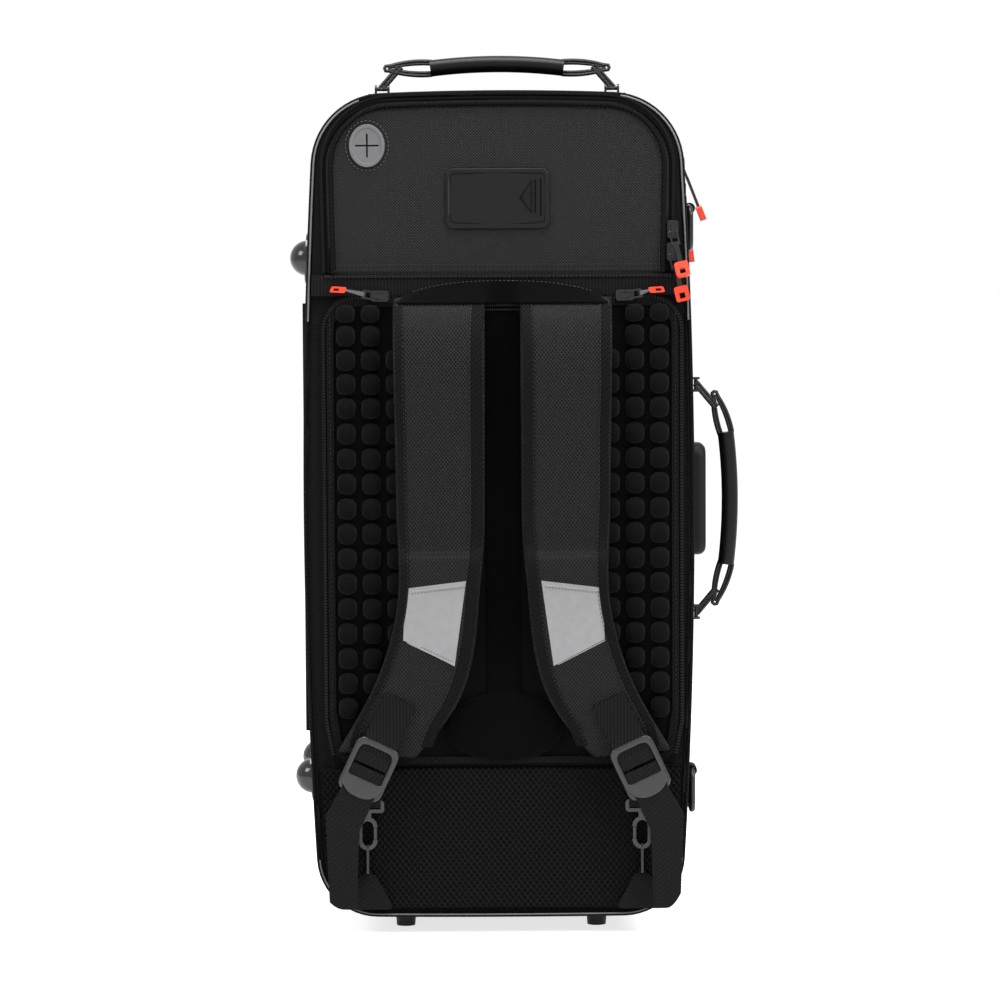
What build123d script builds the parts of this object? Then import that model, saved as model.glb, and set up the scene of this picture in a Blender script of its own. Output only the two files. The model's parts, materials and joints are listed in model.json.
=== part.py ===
"""Backpack case for a trumpet, in millimetres, with +Z up.

The origin is on the floor under the case. X runs to the right and Y runs away from the side with
the shoulder straps. The back half is carried on the back, and the lid turns about the spine.
"""

import os
from math import copysign, cos, hypot, radians, sin, sqrt, tan

from build123d import *

os.makedirs("parts", exist_ok=True)

# Shell
foot_height = 13
body_height = 595
body_width = 280
side_bulge = 10
top_bulge = 4
bottom_bulge = 1
near_depth = 100
far_depth = 86
parting_offset = 10
top_corner = 52
bottom_corner = 44
edge_round = 4
skin = 2
wall = 3
lining = 1.5
parting_gap = 0.8
seat_gap = 0.3
overrun = 2

# Main zip and spine
tape_width = 9
tape_inset = 0.4
coil_width = 2.4
coil_proud = 0.9
spine_low = 58
spine_high = 532
leaf_thickness = 1.6
leaf_width = 85
leaf_lid_width = 62
leaf_gap = 3
bead_radius = 2
bead_offset = 2.2
bead_length = 320

# Pocket in the near face
door_top_width = 253.6
door_bottom_width = 249
door_corner = 47
door_top_margin = 5.6
hinge_height = 477.7
door_gap = 0.9
face_inset = 3.4
border_thickness = 2.4
small_coil = 1.5
coil_height = 0.8
zip_clearance = 0.15
door_tape = 3.2
door_lift = 0.3
cord_piping_margin = 4.4
cord_piping_width = 4.4
cord_piping_height = 7
door_panel_height = 6
door_base_height = 3.6
pocket_depth = 36
window_margin = 13
welt_radius = 1.5

# Card holder and earphone port on the pocket door
tag_width = 74
tag_height = 43
tag_corner = 6
tag_piping = 3.2
tag_piping_height = 2.4
tag_plate_height = 1.4
tag_x = 0
tag_z = 531.6
tag_plate_width = 66
tag_plate_side = 32
tag_barrel = 2.4
arrow_size = 10
arrow_x = 21
arrow_depth = 0.5
port_width = 25.5
port_height = 30.5
port_rim = 2.6
port_thickness = 1.8
port_slit = 17
port_slit_width = 1.2
port_dish = 0.6
port_x = -93
port_z = 569.5

# Yoke band and zipped back cover
panel_shift = 3
band_depth = 15.3
band_thickness = 4.5
arch_half_width = 69
arch_height = 9
cover_thickness = 3
cover_half_width = 129
cover_top = 463.5
cover_bottom = 122
cover_taper = 5.5
cover_taper_height = 34
cover_corner = 24
cover_slope = 1.5
binding_width = 4.8
binding_height = 1.6
cover_tape = 3
cover_zip_height = 2.6

# Fields of foam bumps
bump_rows_above = 5
bump_rows_below = 12
bump_columns = 3
bump_pitch_x = 17.7
bump_pitch_above = 17.3
bump_pitch_below = 18
bump_first_z = 451
bump_second_z = 363.5
bump_first_x = 77
bump_width = 13.4
bump_height = 14.2
bump_corner = 4
bump_foot = 3.4
bump_crown = 3.2
bump_foot_taper = 12
bump_crown_taper = 48
pad_thickness = 1.6
pad_margin = 3

# Channel and lumbar pad, mesh panel
channel_width = 26
channel_thickness = 1.2
lumbar_width = 84
lumbar_height = 50
lumbar_thickness = 5
lumbar_z = 151
mesh_thickness = 3.6
mesh_round = 2

# Shoulder straps
strap_thickness = 9.5
strap_stand_off = 10.4
strap_top = 461.4
strap_foot_stand_off = 14.4
strap_level_share = 0.8
strap_root_share = 0.5
reflector_gap = 0.1
reflector_thickness = 0.6
reflector_shares = ((0.626, 0.722), (0.610, 0.275), (0.797, 0.363), (0.739, 0.738))

# Ladder locks, webbing, hooks and corner rings
lock_angle = 25
lock_x = 97.6
lock_z = 123.3
lock_width = 33
lock_length = 42
lock_corner = 7
lock_thickness = 4
lock_slot_width = 26
lock_slot_length = 9
lock_bar = 4.5
lock_stand_off = 18.2
webbing_width = 25
webbing_thickness = 1.5
tail_x = 116.5
tail_end_z = 22
hook_x = 99
hook_top_z = 99
hook_length = 36
hook_width = 14
hook_thickness = 4.6
hook_stand_off = 6
hook_head = 9
hook_bar = 2.6
hook_loop_width = 24
hook_eye = 24
hook_wire = 3
hook_gate = 9
ring_wire = 1.6
corner_ring_depth = 9
corner_ring_height = 23
corner_ring_z = 56.4
corner_tab_width = 38
corner_tab_height = 25.5
corner_tab_thickness = 3.2
corner_tab_z = 19
tab_eyelet = 2.6

# Handles
handle_depth = 45
grip_radius = 6
grip_length = 97
grip_bow = 3
top_rise = 23
side_rise = 30
handle_half_span = 83.5
side_handle_z = 312
loop_radius = 6
loop_neck = 3.2
loop_reach = 21
loop_cord = 3.4
loop_thickness = 4.2
loop_drop = 3.2
link_width = 7
link_thickness = 3.6
eye_radius = 3
eye_bore = 1.75
pin_radius = 1.5
pin_height = 5.2
lug_gap = 7.6
lug_thickness = 1.6
lug_width = 6
anchor_length = 20
anchor_width = 14
anchor_thickness = 1.6
hand_pad_height = 82
hand_pad_width = 34
hand_pad_thickness = 11

# Strap rings on the right side
ring_width = 34
ring_height = 33
ring_radius = 2.3
ring_corner = 6
ring_bore = 2.7
ring_sleeve = 4
ring_tab_height = 22
ring_tab_thickness = 2.4
ring_stand_off = 5
upper_ring_z = 524
lower_ring_z = 112

# Feet
ball_radius = 13
ball_offset = 0.7
foot_seat = 0.05
plate_radius = 18
plate_thickness = 2
side_foot_y_back = -47
side_foot_y_lid = 56
side_foot_high = 489
side_foot_low = 109
foot_radius = 8
foot_taper = 1.2
bottom_foot_x = 70
bottom_foot_y_back = -60
bottom_foot_y_lid = 58

# Sliders and pulls
slider_width = 8
slider_length = 13
slider_plate = 2
slider_corner = 2
bridge_width = 2.6
bridge_length = 8
bridge_height = 3
bridge_wall = 0.8
barrel_radius = 0.8
arm_gap = 4
arm_width = 1.2
arm_length = 8
arm_height = 1.6
yoke_length = 2.5
pull_tape_width = 3.4
pull_tape_height = 2.2
main_tape_length = 26
pocket_tape_length = 17
cover_tape_left = 16
cover_tape_right = 9
tip_width = 10
tip_length = 11
tip_thickness = 4.4
tip_corner = 1.8
tip_slot = 4
main_slider_lower_z = 529
main_lean_upper = 18
main_lean_lower = 4
pocket_slider_upper_z = 509
pocket_slider_lower_z = 493
pocket_pull_slant = 14
pocket_lean_upper = 18
pocket_lean_lower = 3
cover_slider_x = 80
cover_slider_share = 0.6
cover_pull_slant = 7
cover_pull_lean = 1

# Interior
foam_top_gap = 6
bell_radius = 62
bell_throat = 11
bell_length = 190
bell_x = -38
bell_mouth_z = 42
tube_length = 520
valve_width = 150
valve_length = 96
valve_z = 300
valve_depth = 44
wrap_width = 104
wrap_length = 250
wrap_z = 292
wrap_depth = 24
bin_width = 66
bin_length = 105
bin_x = 78
bin_z = 92
bin_depth = 56
mouthpiece_radius = 14
mouthpiece_depth = 50
mouthpiece_x = 88
mouthpiece_z = 420
mouthpiece_pitch = 36
neck_strap_z = 470
neck_strap_width = 30
neck_strap_length = 76
neck_strap_thickness = 2
lid_pad_thickness = 6

# Front pocket on the lid
front_width = 214
front_height = 330
front_z = 250
front_corner = 26
front_thickness = 12
front_round = 5
front_zip_z = 385
front_zip_length = 170
front_zip_width = 6
front_slider_x = 70

# Levels and depths worked out from the sizes above
bottom_z = foot_height
top_z = bottom_z + body_height
crown_z = top_z - top_bulge
base_z = bottom_z + bottom_bulge
mid_z = (crown_z + base_z) / 2
corner_x = body_width / 2 - side_bulge
near_y = -near_depth
far_y = far_depth
face_y = near_y + skin
back_end_y = parting_offset - parting_gap / 2
lid_start_y = parting_offset + parting_gap / 2
tape_start_y = parting_offset - tape_width
tape_end_y = parting_offset + tape_width
side_radius = ((crown_z - base_z) ** 2 / 4 + side_bulge**2) / (2 * side_bulge)
top_radius = (corner_x**2 + top_bulge**2) / (2 * top_bulge)
bottom_radius = (corner_x**2 + bottom_bulge**2) / (2 * bottom_bulge)
side_centre_x = body_width / 2 - side_radius
top_centre_z = top_z - top_radius
bottom_centre_z = bottom_z + bottom_radius
door_top_z = top_z - door_top_margin
hinge_x = -(body_width / 2 + leaf_thickness + bead_offset)
pocket_floor_y = face_y + wall + pocket_depth
door_axis_y = face_y - band_thickness
door_axis_z = hinge_height - welt_radius - seat_gap / 2
cover_y = face_y - cover_thickness


def side_x(z):
    """Half width of the case at a height: each side is one long arc."""
    return side_centre_x + sqrt(side_radius**2 - (z - mid_z) ** 2)


def crossing(side_reach, end_reach, end_centre_z):
    """Where a circle about the right side's centre meets one about the top's or the bottom's."""
    rise = mid_z - end_centre_z
    span = hypot(side_centre_x, rise)
    along = (end_reach**2 - side_reach**2 + span**2) / (2 * span)
    across = copysign(sqrt(end_reach**2 - along**2), rise)
    return (
        (along * side_centre_x + across * rise) / span,
        end_centre_z + (along * rise - across * side_centre_x) / span,
    )


def mirrored(point):
    """The same point on the left."""
    return -point[0], point[1]


def case_outline(inset=0):
    """The case's outline drawn in by a margin, or let out where the margin is negative."""
    high = crossing(side_radius - inset, top_radius - inset, top_centre_z)
    low = crossing(side_radius - inset, bottom_radius - inset, bottom_centre_z)
    side = (body_width / 2 - inset, mid_z)
    with BuildSketch() as outline:
        with BuildLine():
            ThreePointArc(low, side, high)
            ThreePointArc(high, (0, top_z - inset), mirrored(high))
            ThreePointArc(mirrored(high), mirrored(side), mirrored(low))
            ThreePointArc(mirrored(low), (0, bottom_z + inset), low)
        make_face()
        fillet(outline.vertices().group_by(Axis.Y)[-1], top_corner - inset)
        fillet(outline.vertices().group_by(Axis.Y)[0], bottom_corner - inset)
    return outline.sketch


def door_outline(inset=0):
    """The line of the door's zip drawn in by a margin. It runs on below the hinge."""
    reach = top_radius - door_top_margin - inset
    top_x = door_top_width / 2 - inset
    high = (top_x, top_centre_z + sqrt(reach**2 - top_x**2))
    low = (door_bottom_width / 2 - inset, hinge_height - band_depth)
    with BuildSketch() as outline:
        with BuildLine():
            ThreePointArc(high, (0, top_centre_z + reach), mirrored(high))
            Polyline(mirrored(high), mirrored(low), low, high)
        make_face()
        fillet(outline.vertices().group_by(Axis.Y)[-1], door_corner - inset)
    return outline.sketch


def between(outline, low_z, high_z):
    """The stretch of an outline between two heights."""
    with BuildSketch(mode=Mode.PRIVATE) as stretch:
        add(outline)
        with Locations((0, low_z)):
            Rectangle(
                body_width * 2, high_z - low_z, align=(Align.CENTER, Align.MIN), mode=Mode.INTERSECT
            )
    return stretch.sketch


def plate(outline, back_y, thickness, mode=Mode.ADD):
    """Extrude an outline from a depth towards the near side."""
    with BuildSketch(Plane.XZ.offset(-back_y)) as drawn:
        add(outline)
    extrude(drawn.sketch, amount=thickness, mode=mode)


def cover_outline(inset=0):
    """The line of the cover's two zips drawn in by a margin. Its top dips towards the straps."""
    half = cover_half_width
    low_half = half - cover_taper
    taper_z = cover_bottom + cover_taper_height
    dip_z = cover_top - cover_slope
    right = [(cover_slider_x, dip_z), (half, cover_top), (half, taper_z), (low_half, cover_bottom)]
    points = [(panel_shift + x, z) for x, z in right]
    points += [(panel_shift - x, z) for x, z in reversed(right)]
    with BuildSketch() as outline:
        with BuildLine():
            Polyline(*points, close=True)
        make_face()
        if inset:
            offset(amount=-inset, kind=Kind.INTERSECTION)
        corners = outline.vertices().sort_by(Axis.Y)[-2:]
        fillet(corners, cover_corner - inset)
    return outline.sketch


def facing(x, y, z):
    """A plane at a point, seen from the near side."""
    return Plane(origin=(x, y, z), x_dir=(1, 0, 0), z_dir=(0, -1, 0))


def case_block(inset, near, far, near_edge=0, far_edge=0):
    """A block of the case's outline between two depths, with the edges of its ends rounded."""
    with BuildPart() as block:
        plate(case_outline(inset), far, far - near)
        if near_edge:
            fillet(block.faces().sort_by(Axis.Y)[0].edges(), near_edge)
        if far_edge:
            fillet(block.faces().sort_by(Axis.Y)[-1].edges(), far_edge)
    return block.part


back_outer = case_block(0, near_y, tape_start_y, near_edge=edge_round)
back_core = case_block(skin, face_y, back_end_y, near_edge=edge_round - skin)
back_hollow = case_block(skin + wall, face_y + wall, back_end_y + overrun)
lid_outer = case_block(0, tape_end_y, far_y, far_edge=edge_round)
lid_core = case_block(skin, lid_start_y, far_y - skin, far_edge=edge_round - skin)
lid_hollow = case_block(skin + wall, lid_start_y - overrun, far_y - skin - wall)
whole_outer = case_block(0, near_y, far_y)

# Moulded frame of the back half. A tray behind the near wall makes the upper pocket.
tray_block = between(case_outline(skin + wall), hinge_height - wall, top_z)
tray_space = between(case_outline(skin + wall), hinge_height, top_z)
pocket_window = between(door_outline(window_margin), hinge_height + window_margin, top_z)
with BuildPart() as back_frame:
    add(back_core)
    add(back_hollow, mode=Mode.SUBTRACT)
    plate(tray_block, pocket_floor_y + wall, pocket_depth + wall)
    plate(tray_space, pocket_floor_y, pocket_depth, mode=Mode.SUBTRACT)
    plate(pocket_window, pocket_floor_y, near_depth, mode=Mode.SUBTRACT)
back_frame.part.label = "back_frame"
export_step(back_frame.part, "parts/back_frame.step")

# Fabric gusset of the back half, with a narrow rim turned onto the near face
face_opening = case_outline(face_inset)
with BuildPart() as back_gusset:
    add(back_outer)
    add(back_core, mode=Mode.SUBTRACT)
    plate(face_opening, face_y, near_depth, mode=Mode.SUBTRACT)
back_gusset.part.label = "back_gusset"
export_step(back_gusset.part, "parts/back_gusset.step")

# The main zip: a tape and half of the coil on each half, open along the spine
with BuildPart() as spine_window:
    with Locations((-body_width / 2, parting_offset, (spine_low + spine_high) / 2)):
        Box(top_corner * 2, near_depth * 4, spine_high - spine_low)
tape_back = case_block(tape_inset, tape_start_y, back_end_y)
coil_back = case_block(-coil_proud, parting_offset - coil_width, back_end_y)
with BuildPart() as main_zip_back:
    add(tape_back)
    add(coil_back)
    add(back_core, mode=Mode.SUBTRACT)
    add(spine_window.part, mode=Mode.SUBTRACT)
main_zip_back.part.label = "main_zip_back"
export_step(main_zip_back.part, "parts/main_zip_back.step")

tape_lid = case_block(tape_inset, lid_start_y, tape_end_y)
coil_lid = case_block(-coil_proud, lid_start_y, parting_offset + coil_width)
with BuildPart() as main_zip_lid:
    add(tape_lid)
    add(coil_lid)
    add(lid_core, mode=Mode.SUBTRACT)
    add(spine_window.part, mode=Mode.SUBTRACT)
main_zip_lid.part.label = "main_zip_lid"
export_step(main_zip_lid.part, "parts/main_zip_lid.step")

# Spine leaves of stiffened fabric, and the rolled bead on the hinge line
leaf_back_block = case_block(-leaf_thickness, parting_offset - leaf_width, parting_offset - leaf_gap)
leaf_lid_start_y = parting_offset + leaf_gap
leaf_lid_block = case_block(-leaf_thickness, leaf_lid_start_y, leaf_lid_start_y + leaf_lid_width)
bead_middle_z = (spine_low + spine_high) / 2
with BuildPart() as spine_leaf_back:
    add(leaf_back_block)
    add(back_outer, mode=Mode.SUBTRACT)
    add(back_core, mode=Mode.SUBTRACT)
    add(spine_window.part, mode=Mode.INTERSECT)
    with Locations((hinge_x, parting_offset, bead_middle_z)):
        Cylinder(bead_radius, bead_length)
        Box(
            bead_offset + leaf_thickness / 2,
            leaf_gap + seat_gap,
            bead_length,
            align=(Align.MIN, Align.MAX, Align.CENTER),
        )
spine_leaf_back.part.label = "spine_leaf_back"
export_step(spine_leaf_back.part, "parts/spine_leaf_back.step")

with BuildPart() as spine_leaf_lid:
    add(leaf_lid_block)
    add(lid_outer, mode=Mode.SUBTRACT)
    add(lid_core, mode=Mode.SUBTRACT)
    add(spine_window.part, mode=Mode.INTERSECT)
spine_leaf_lid.part.label = "spine_leaf_lid"
export_step(spine_leaf_lid.part, "parts/spine_leaf_lid.step")

# Moulded frame, gusset and plush lining of the lid
with BuildPart() as lid_frame:
    add(lid_core)
    add(lid_hollow, mode=Mode.SUBTRACT)
lid_frame.part.label = "lid_frame"
export_step(lid_frame.part, "parts/lid_frame.step")

with BuildPart() as lid_gusset:
    add(lid_outer)
    add(lid_core, mode=Mode.SUBTRACT)
lid_gusset.part.label = "lid_gusset"
export_step(lid_gusset.part, "parts/lid_gusset.step")

lid_lining_block = case_block(skin + wall, lid_start_y + overrun, far_y - skin - wall)
lid_space = case_block(
    skin + wall + lining, lid_start_y, far_y - skin - wall - lid_pad_thickness, far_edge=top_corner / 8
)
with BuildPart() as lid_lining:
    add(lid_lining_block)
    add(lid_space, mode=Mode.SUBTRACT)
lid_lining.part.label = "lid_lining"
export_step(lid_lining.part, "parts/lid_lining.step")

# Foam bed with the trumpet's recess, a bin for small things and two mouthpiece wells
bed_top_y = back_end_y - foam_top_gap
bed_outline = case_outline(skin + wall + lining)
bed_above_tray = between(bed_outline, hinge_height - wall, top_z)
bell_shares = ((0, 1), (0.08, 0.8), (0.25, 0.5), (0.55, 0.3), (1, bell_throat / bell_radius))
with BuildPart() as foam_bed:
    plate(bed_outline, bed_top_y, bed_top_y - face_y - wall)
    plate(bed_above_tray, pocket_floor_y + wall, near_depth, mode=Mode.SUBTRACT)
    for length_share, radius_share in bell_shares:
        with BuildSketch(Plane.XY.offset(bell_mouth_z + bell_length * length_share)):
            with Locations((bell_x, bed_top_y)):
                Circle(bell_radius * radius_share)
    loft(ruled=True, mode=Mode.SUBTRACT)
    with BuildSketch(Plane.XY.offset(bell_mouth_z + bell_length)):
        with Locations((bell_x, bed_top_y)):
            Circle(bell_throat)
    extrude(amount=tube_length - bell_length, mode=Mode.SUBTRACT)
    with BuildSketch(Plane.XZ.offset(-bed_top_y)):
        with Locations((bell_x + valve_width / 4, valve_z)):
            RectangleRounded(valve_width, valve_length, bell_throat)
    extrude(amount=valve_depth, mode=Mode.SUBTRACT)
    with BuildSketch(Plane.XZ.offset(-bed_top_y)):
        with Locations((bell_x + valve_width / 4, wrap_z)):
            RectangleRounded(wrap_width, wrap_length, bell_throat)
    extrude(amount=wrap_depth, mode=Mode.SUBTRACT)
    with BuildSketch(Plane.XZ.offset(-bed_top_y)):
        with Locations((bin_x, bin_z)):
            RectangleRounded(bin_width, bin_length, bell_throat)
    extrude(amount=bin_depth, mode=Mode.SUBTRACT)
    with BuildSketch(Plane.XZ.offset(-bed_top_y)):
        with Locations((mouthpiece_x, mouthpiece_z), (mouthpiece_x, mouthpiece_z - mouthpiece_pitch)):
            Circle(mouthpiece_radius)
    extrude(amount=mouthpiece_depth, mode=Mode.SUBTRACT)
foam_bed.part.label = "foam_bed"
export_step(foam_bed.part, "parts/foam_bed.step")

# Plush lining round the foam, and the strap over the trumpet's neck
lining_outer = case_block(skin + wall, face_y + wall, back_end_y - foam_top_gap / 2)
lining_inner = case_block(skin + wall + lining, face_y, back_end_y)
with BuildPart() as back_lining:
    add(lining_outer)
    add(lining_inner, mode=Mode.SUBTRACT)
    plate(tray_block, pocket_floor_y + wall, near_depth, mode=Mode.SUBTRACT)
back_lining.part.label = "back_lining"
export_step(back_lining.part, "parts/back_lining.step")

with BuildPart() as neck_strap:
    with Locations((bell_x, bed_top_y, neck_strap_z)):
        Box(
            neck_strap_length,
            neck_strap_thickness,
            neck_strap_width,
            align=(Align.CENTER, Align.MIN, Align.CENTER),
        )
    fillet(neck_strap.edges().filter_by(Axis.Y), bell_throat / 2)
neck_strap.part.label = "neck_strap"
export_step(neck_strap.part, "parts/neck_strap.step")

# Near face, upper part: the border that holds the frame side of the pocket's zip
border_outline = between(case_outline(face_inset), hinge_height, top_z)
frame_coil_top_y = face_y - border_thickness
with BuildPart() as pocket_zip_frame:
    plate(border_outline, face_y, border_thickness)
    plate(between(door_outline(-zip_clearance - small_coil), hinge_height, top_z),
          frame_coil_top_y, coil_height)
    plate(door_outline(-zip_clearance), face_y, near_depth, mode=Mode.SUBTRACT)
pocket_zip_frame.part.label = "pocket_zip_frame"
export_step(pocket_zip_frame.part, "parts/pocket_zip_frame.step")

# The door's side of the zip, and the padded door with a cord piping round its panel
door_back_y = face_y - door_lift
door_bottom_z = hinge_height + door_gap / 2
with BuildPart() as pocket_zip_door:
    plate(between(door_outline(zip_clearance), door_bottom_z, top_z),
          door_back_y, border_thickness - door_lift)
    plate(between(door_outline(zip_clearance), door_bottom_z, top_z), frame_coil_top_y, coil_height)
    plate(door_outline(zip_clearance + small_coil), frame_coil_top_y, near_depth, mode=Mode.SUBTRACT)
    plate(door_outline(door_tape), face_y, near_depth, mode=Mode.SUBTRACT)
pocket_zip_door.part.label = "pocket_zip_door"
export_step(pocket_zip_door.part, "parts/pocket_zip_door.step")

# A round cord is sewn in round the door's crowned panel.
panel_margin = cord_piping_margin + cord_piping_width
door_panel_y = face_y - door_panel_height
with BuildPart() as door_piping:
    plate(between(door_outline(cord_piping_margin), door_bottom_z, top_z),
          door_back_y, cord_piping_height - door_lift)
    plate(door_outline(panel_margin), face_y, near_depth, mode=Mode.SUBTRACT)
    fillet(
        door_piping.faces().sort_by(Axis.Y)[0].edges()
        .filter_by_position(Axis.Z, door_bottom_z + overrun, top_z),
        cord_piping_width / 2.4,
    )
with BuildPart() as door_panel:
    plate(between(door_outline(panel_margin), door_bottom_z, top_z),
          door_back_y, door_panel_height - door_lift)
    fillet(
        door_panel.faces().sort_by(Axis.Y)[0].edges()
        .filter_by_position(Axis.Z, door_bottom_z + overrun, top_z),
        cord_piping_width / 2.4,
    )
with BuildPart() as pocket_door:
    plate(between(door_outline(door_tape), door_bottom_z, top_z),
          door_back_y, door_base_height - door_lift)
    add(door_piping.part)
    add(door_panel.part)
pocket_door.part.label = "pocket_door"
export_step(pocket_door.part, "parts/pocket_door.step")

# Card holder: a piped frame, a barrel-shaped leather plate and an arrow pressed into it
tag_plane = facing(tag_x, door_panel_y, tag_z)
with BuildPart() as id_tag:
    with BuildSketch(tag_plane):
        RectangleRounded(tag_width, tag_height, tag_corner)
    extrude(amount=tag_piping_height)
    fillet(id_tag.faces().sort_by(Axis.Y)[0].edges(), tag_piping / 3)
    with BuildSketch(tag_plane.offset(tag_plate_height)):
        RectangleRounded(
            tag_width - 2 * tag_piping, tag_height - 2 * tag_piping, tag_corner - tag_piping
        )
    extrude(amount=tag_piping_height, mode=Mode.SUBTRACT)
    with BuildSketch(tag_plane.offset(tag_plate_height)):
        with BuildLine():
            left = -tag_plate_width / 2
            low = -tag_plate_side / 2
            ThreePointArc((left, low), (left - tag_barrel / 2, 0), (left, -low))
            ThreePointArc((left, -low), (0, tag_barrel - low), (-left, -low))
            ThreePointArc((-left, -low), (tag_barrel / 2 - left, 0), (-left, low))
            ThreePointArc((-left, low), (0, low - tag_barrel), (left, low))
        make_face()
    extrude(amount=tag_plate_height / 2)
    with BuildSketch(tag_plane.offset(tag_plate_height * 3 / 2)):
        with Locations((arrow_x, 0)):
            Triangle(a=arrow_size, b=arrow_size, c=arrow_size, rotation=90)
    extrude(amount=-arrow_depth, mode=Mode.SUBTRACT)
id_tag.part.label = "id_tag"
export_step(id_tag.part, "parts/id_tag.step")

# Rubber earphone port with a rim and a crossed slit
port_plane = facing(port_x, door_panel_y, port_z)
with BuildPart() as earphone_port:
    with BuildSketch(port_plane):
        Ellipse(port_width / 2, port_height / 2)
    extrude(amount=port_thickness)
    with BuildSketch(port_plane.offset(port_thickness)):
        Ellipse(port_width / 2 - port_rim, port_height / 2 - port_rim)
    extrude(amount=-port_dish, mode=Mode.SUBTRACT)
    with BuildSketch(port_plane):
        Rectangle(port_slit, port_slit_width)
        Rectangle(port_slit_width, port_slit)
    extrude(amount=port_thickness, mode=Mode.SUBTRACT)
earphone_port.part.label = "earphone_port"
export_step(earphone_port.part, "parts/earphone_port.step")

# Ribbed yoke band under the door, arched over the straps, with the welt that the door turns on
band_low_z = hinge_height - band_depth
face_space = case_outline(face_inset)
with BuildSketch() as band_sketch:
    add(between(face_space, band_low_z, hinge_height))
    with BuildLine():
        ThreePointArc(
            (panel_shift - arch_half_width, band_low_z),
            (panel_shift, band_low_z + arch_height),
            (panel_shift + arch_half_width, band_low_z),
        )
        Line((panel_shift + arch_half_width, band_low_z), (panel_shift - arch_half_width, band_low_z))
    make_face(mode=Mode.SUBTRACT)
with BuildPart() as yoke_band:
    plate(band_sketch.sketch, face_y, band_thickness)
    with Locations((0, door_axis_y, door_axis_z)):
        Cylinder(welt_radius, door_bottom_width, rotation=(0, 90, 0))
yoke_band.part.label = "yoke_band"
export_step(yoke_band.part, "parts/yoke_band.step")

# Zipped cover that carries the harness: a slab with a raised binding round its edge
harness_plane = Plane.YZ.offset(panel_shift)
slab_margin = cover_tape / 2
slab_outline = cover_outline(slab_margin)
with BuildPart() as back_cover:
    plate(slab_outline, face_y, cover_thickness)
    plate(cover_outline(slab_margin * 2), cover_y, binding_height)
    plate(cover_outline(slab_margin * 2 + binding_width), cover_y, near_depth, mode=Mode.SUBTRACT)
    add(yoke_band.part, mode=Mode.SUBTRACT)
back_cover.part.label = "back_cover"
export_step(back_cover.part, "parts/back_cover.step")

# The two zips of the cover, from the straps round its upper corners and down its sides
with BuildPart() as cover_zips:
    plate(cover_outline(-slab_margin), face_y, cover_zip_height)
    plate(slab_outline, face_y, near_depth, mode=Mode.SUBTRACT)
    with Locations((panel_shift, face_y, cover_top)):
        Box((bump_first_x - pad_margin) * 2, near_depth, cover_corner * 2, mode=Mode.SUBTRACT)
    with Locations((panel_shift, face_y, cover_bottom)):
        Box(
            (cover_half_width + cover_tape) * 2,
            near_depth,
            cover_corner,
            align=(Align.CENTER, Align.CENTER, Align.MAX),
            mode=Mode.SUBTRACT,
        )
        Box((cover_half_width - cover_corner) * 2, near_depth, cover_corner, mode=Mode.SUBTRACT)
    add(yoke_band.part, mode=Mode.SUBTRACT)
cover_zips.part.label = "cover_zips"
export_step(cover_zips.part, "parts/cover_zips.step")

# Two fields of pillow-shaped foam bumps on their backing
bump_rows = [bump_first_z - row * bump_pitch_above for row in range(bump_rows_above)]
bump_rows += [bump_second_z - row * bump_pitch_below for row in range(bump_rows_below)]
bump_places = [
    (bump_first_x + column * bump_pitch_x, row_z)
    for column in range(bump_columns)
    for row_z in bump_rows[0 if column else 2:-1 if column < 2 else None]
]
pad_low = bump_first_x - bump_width / 2 - pad_margin
pad_high = bump_first_x + (bump_columns - 1) * bump_pitch_x + bump_width / 2 + pad_margin
pad_bottom_z = bump_rows[-1] - bump_height / 2 - pad_margin
pad_top_z = bump_rows[0] + bump_height / 2
pad_y = cover_y - pad_thickness
bump_waist_width = bump_width - 2 * bump_foot * tan(radians(bump_foot_taper))
bump_waist_height = bump_height - 2 * bump_foot * tan(radians(bump_foot_taper))


def bump_rows_sketch(plane, width, height, side):
    """The outlines of one side's bumps: rectangles with cut corners."""
    with BuildSketch(plane) as outlines:
        with Locations([(panel_shift + side * x, z) for x, z in bump_places]):
            Rectangle(width, height)
        chamfer(outlines.vertices(), bump_corner)
    return outlines.sketch


bump_plane = Plane.XZ.offset(-pad_y)
with BuildPart() as bump_pads:
    for side in (-1, 1):
        with BuildSketch(Plane.XZ.offset(-cover_y)):
            with Locations((panel_shift + side * (pad_low + pad_high) / 2, (pad_bottom_z + pad_top_z) / 2)):
                RectangleRounded(pad_high - pad_low, pad_top_z - pad_bottom_z, bump_corner)
        extrude(amount=pad_thickness)
        extrude(
            bump_rows_sketch(bump_plane, bump_width, bump_height, side),
            amount=bump_foot,
            taper=bump_foot_taper,
        )
        extrude(
            bump_rows_sketch(
                bump_plane.offset(bump_foot), bump_waist_width, bump_waist_height, side
            ),
            amount=bump_crown,
            taper=bump_crown_taper,
        )
    add(back_cover.part, mode=Mode.SUBTRACT)
bump_pads.part.label = "bump_pads"
export_step(bump_pads.part, "parts/bump_pads.step")

# Smooth channel between the straps with the plush lumbar pad at its foot
with BuildPart() as spine_pad:
    with BuildSketch(facing(panel_shift, cover_y, lumbar_z)):
        Ellipse(lumbar_width / 2, lumbar_height / 2)
    extrude(amount=lumbar_thickness)
    fillet(spine_pad.faces().sort_by(Axis.Y)[0].edges(), lumbar_thickness * 0.8)
    with BuildSketch(facing(panel_shift, cover_y, (lumbar_z + cover_top) / 2)):
        RectangleRounded(channel_width, cover_top - lumbar_z - cover_corner, bump_corner)
    extrude(amount=channel_thickness)
    add(back_cover.part, mode=Mode.SUBTRACT)
spine_pad.part.label = "spine_pad"
export_step(spine_pad.part, "parts/spine_pad.step")

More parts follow.
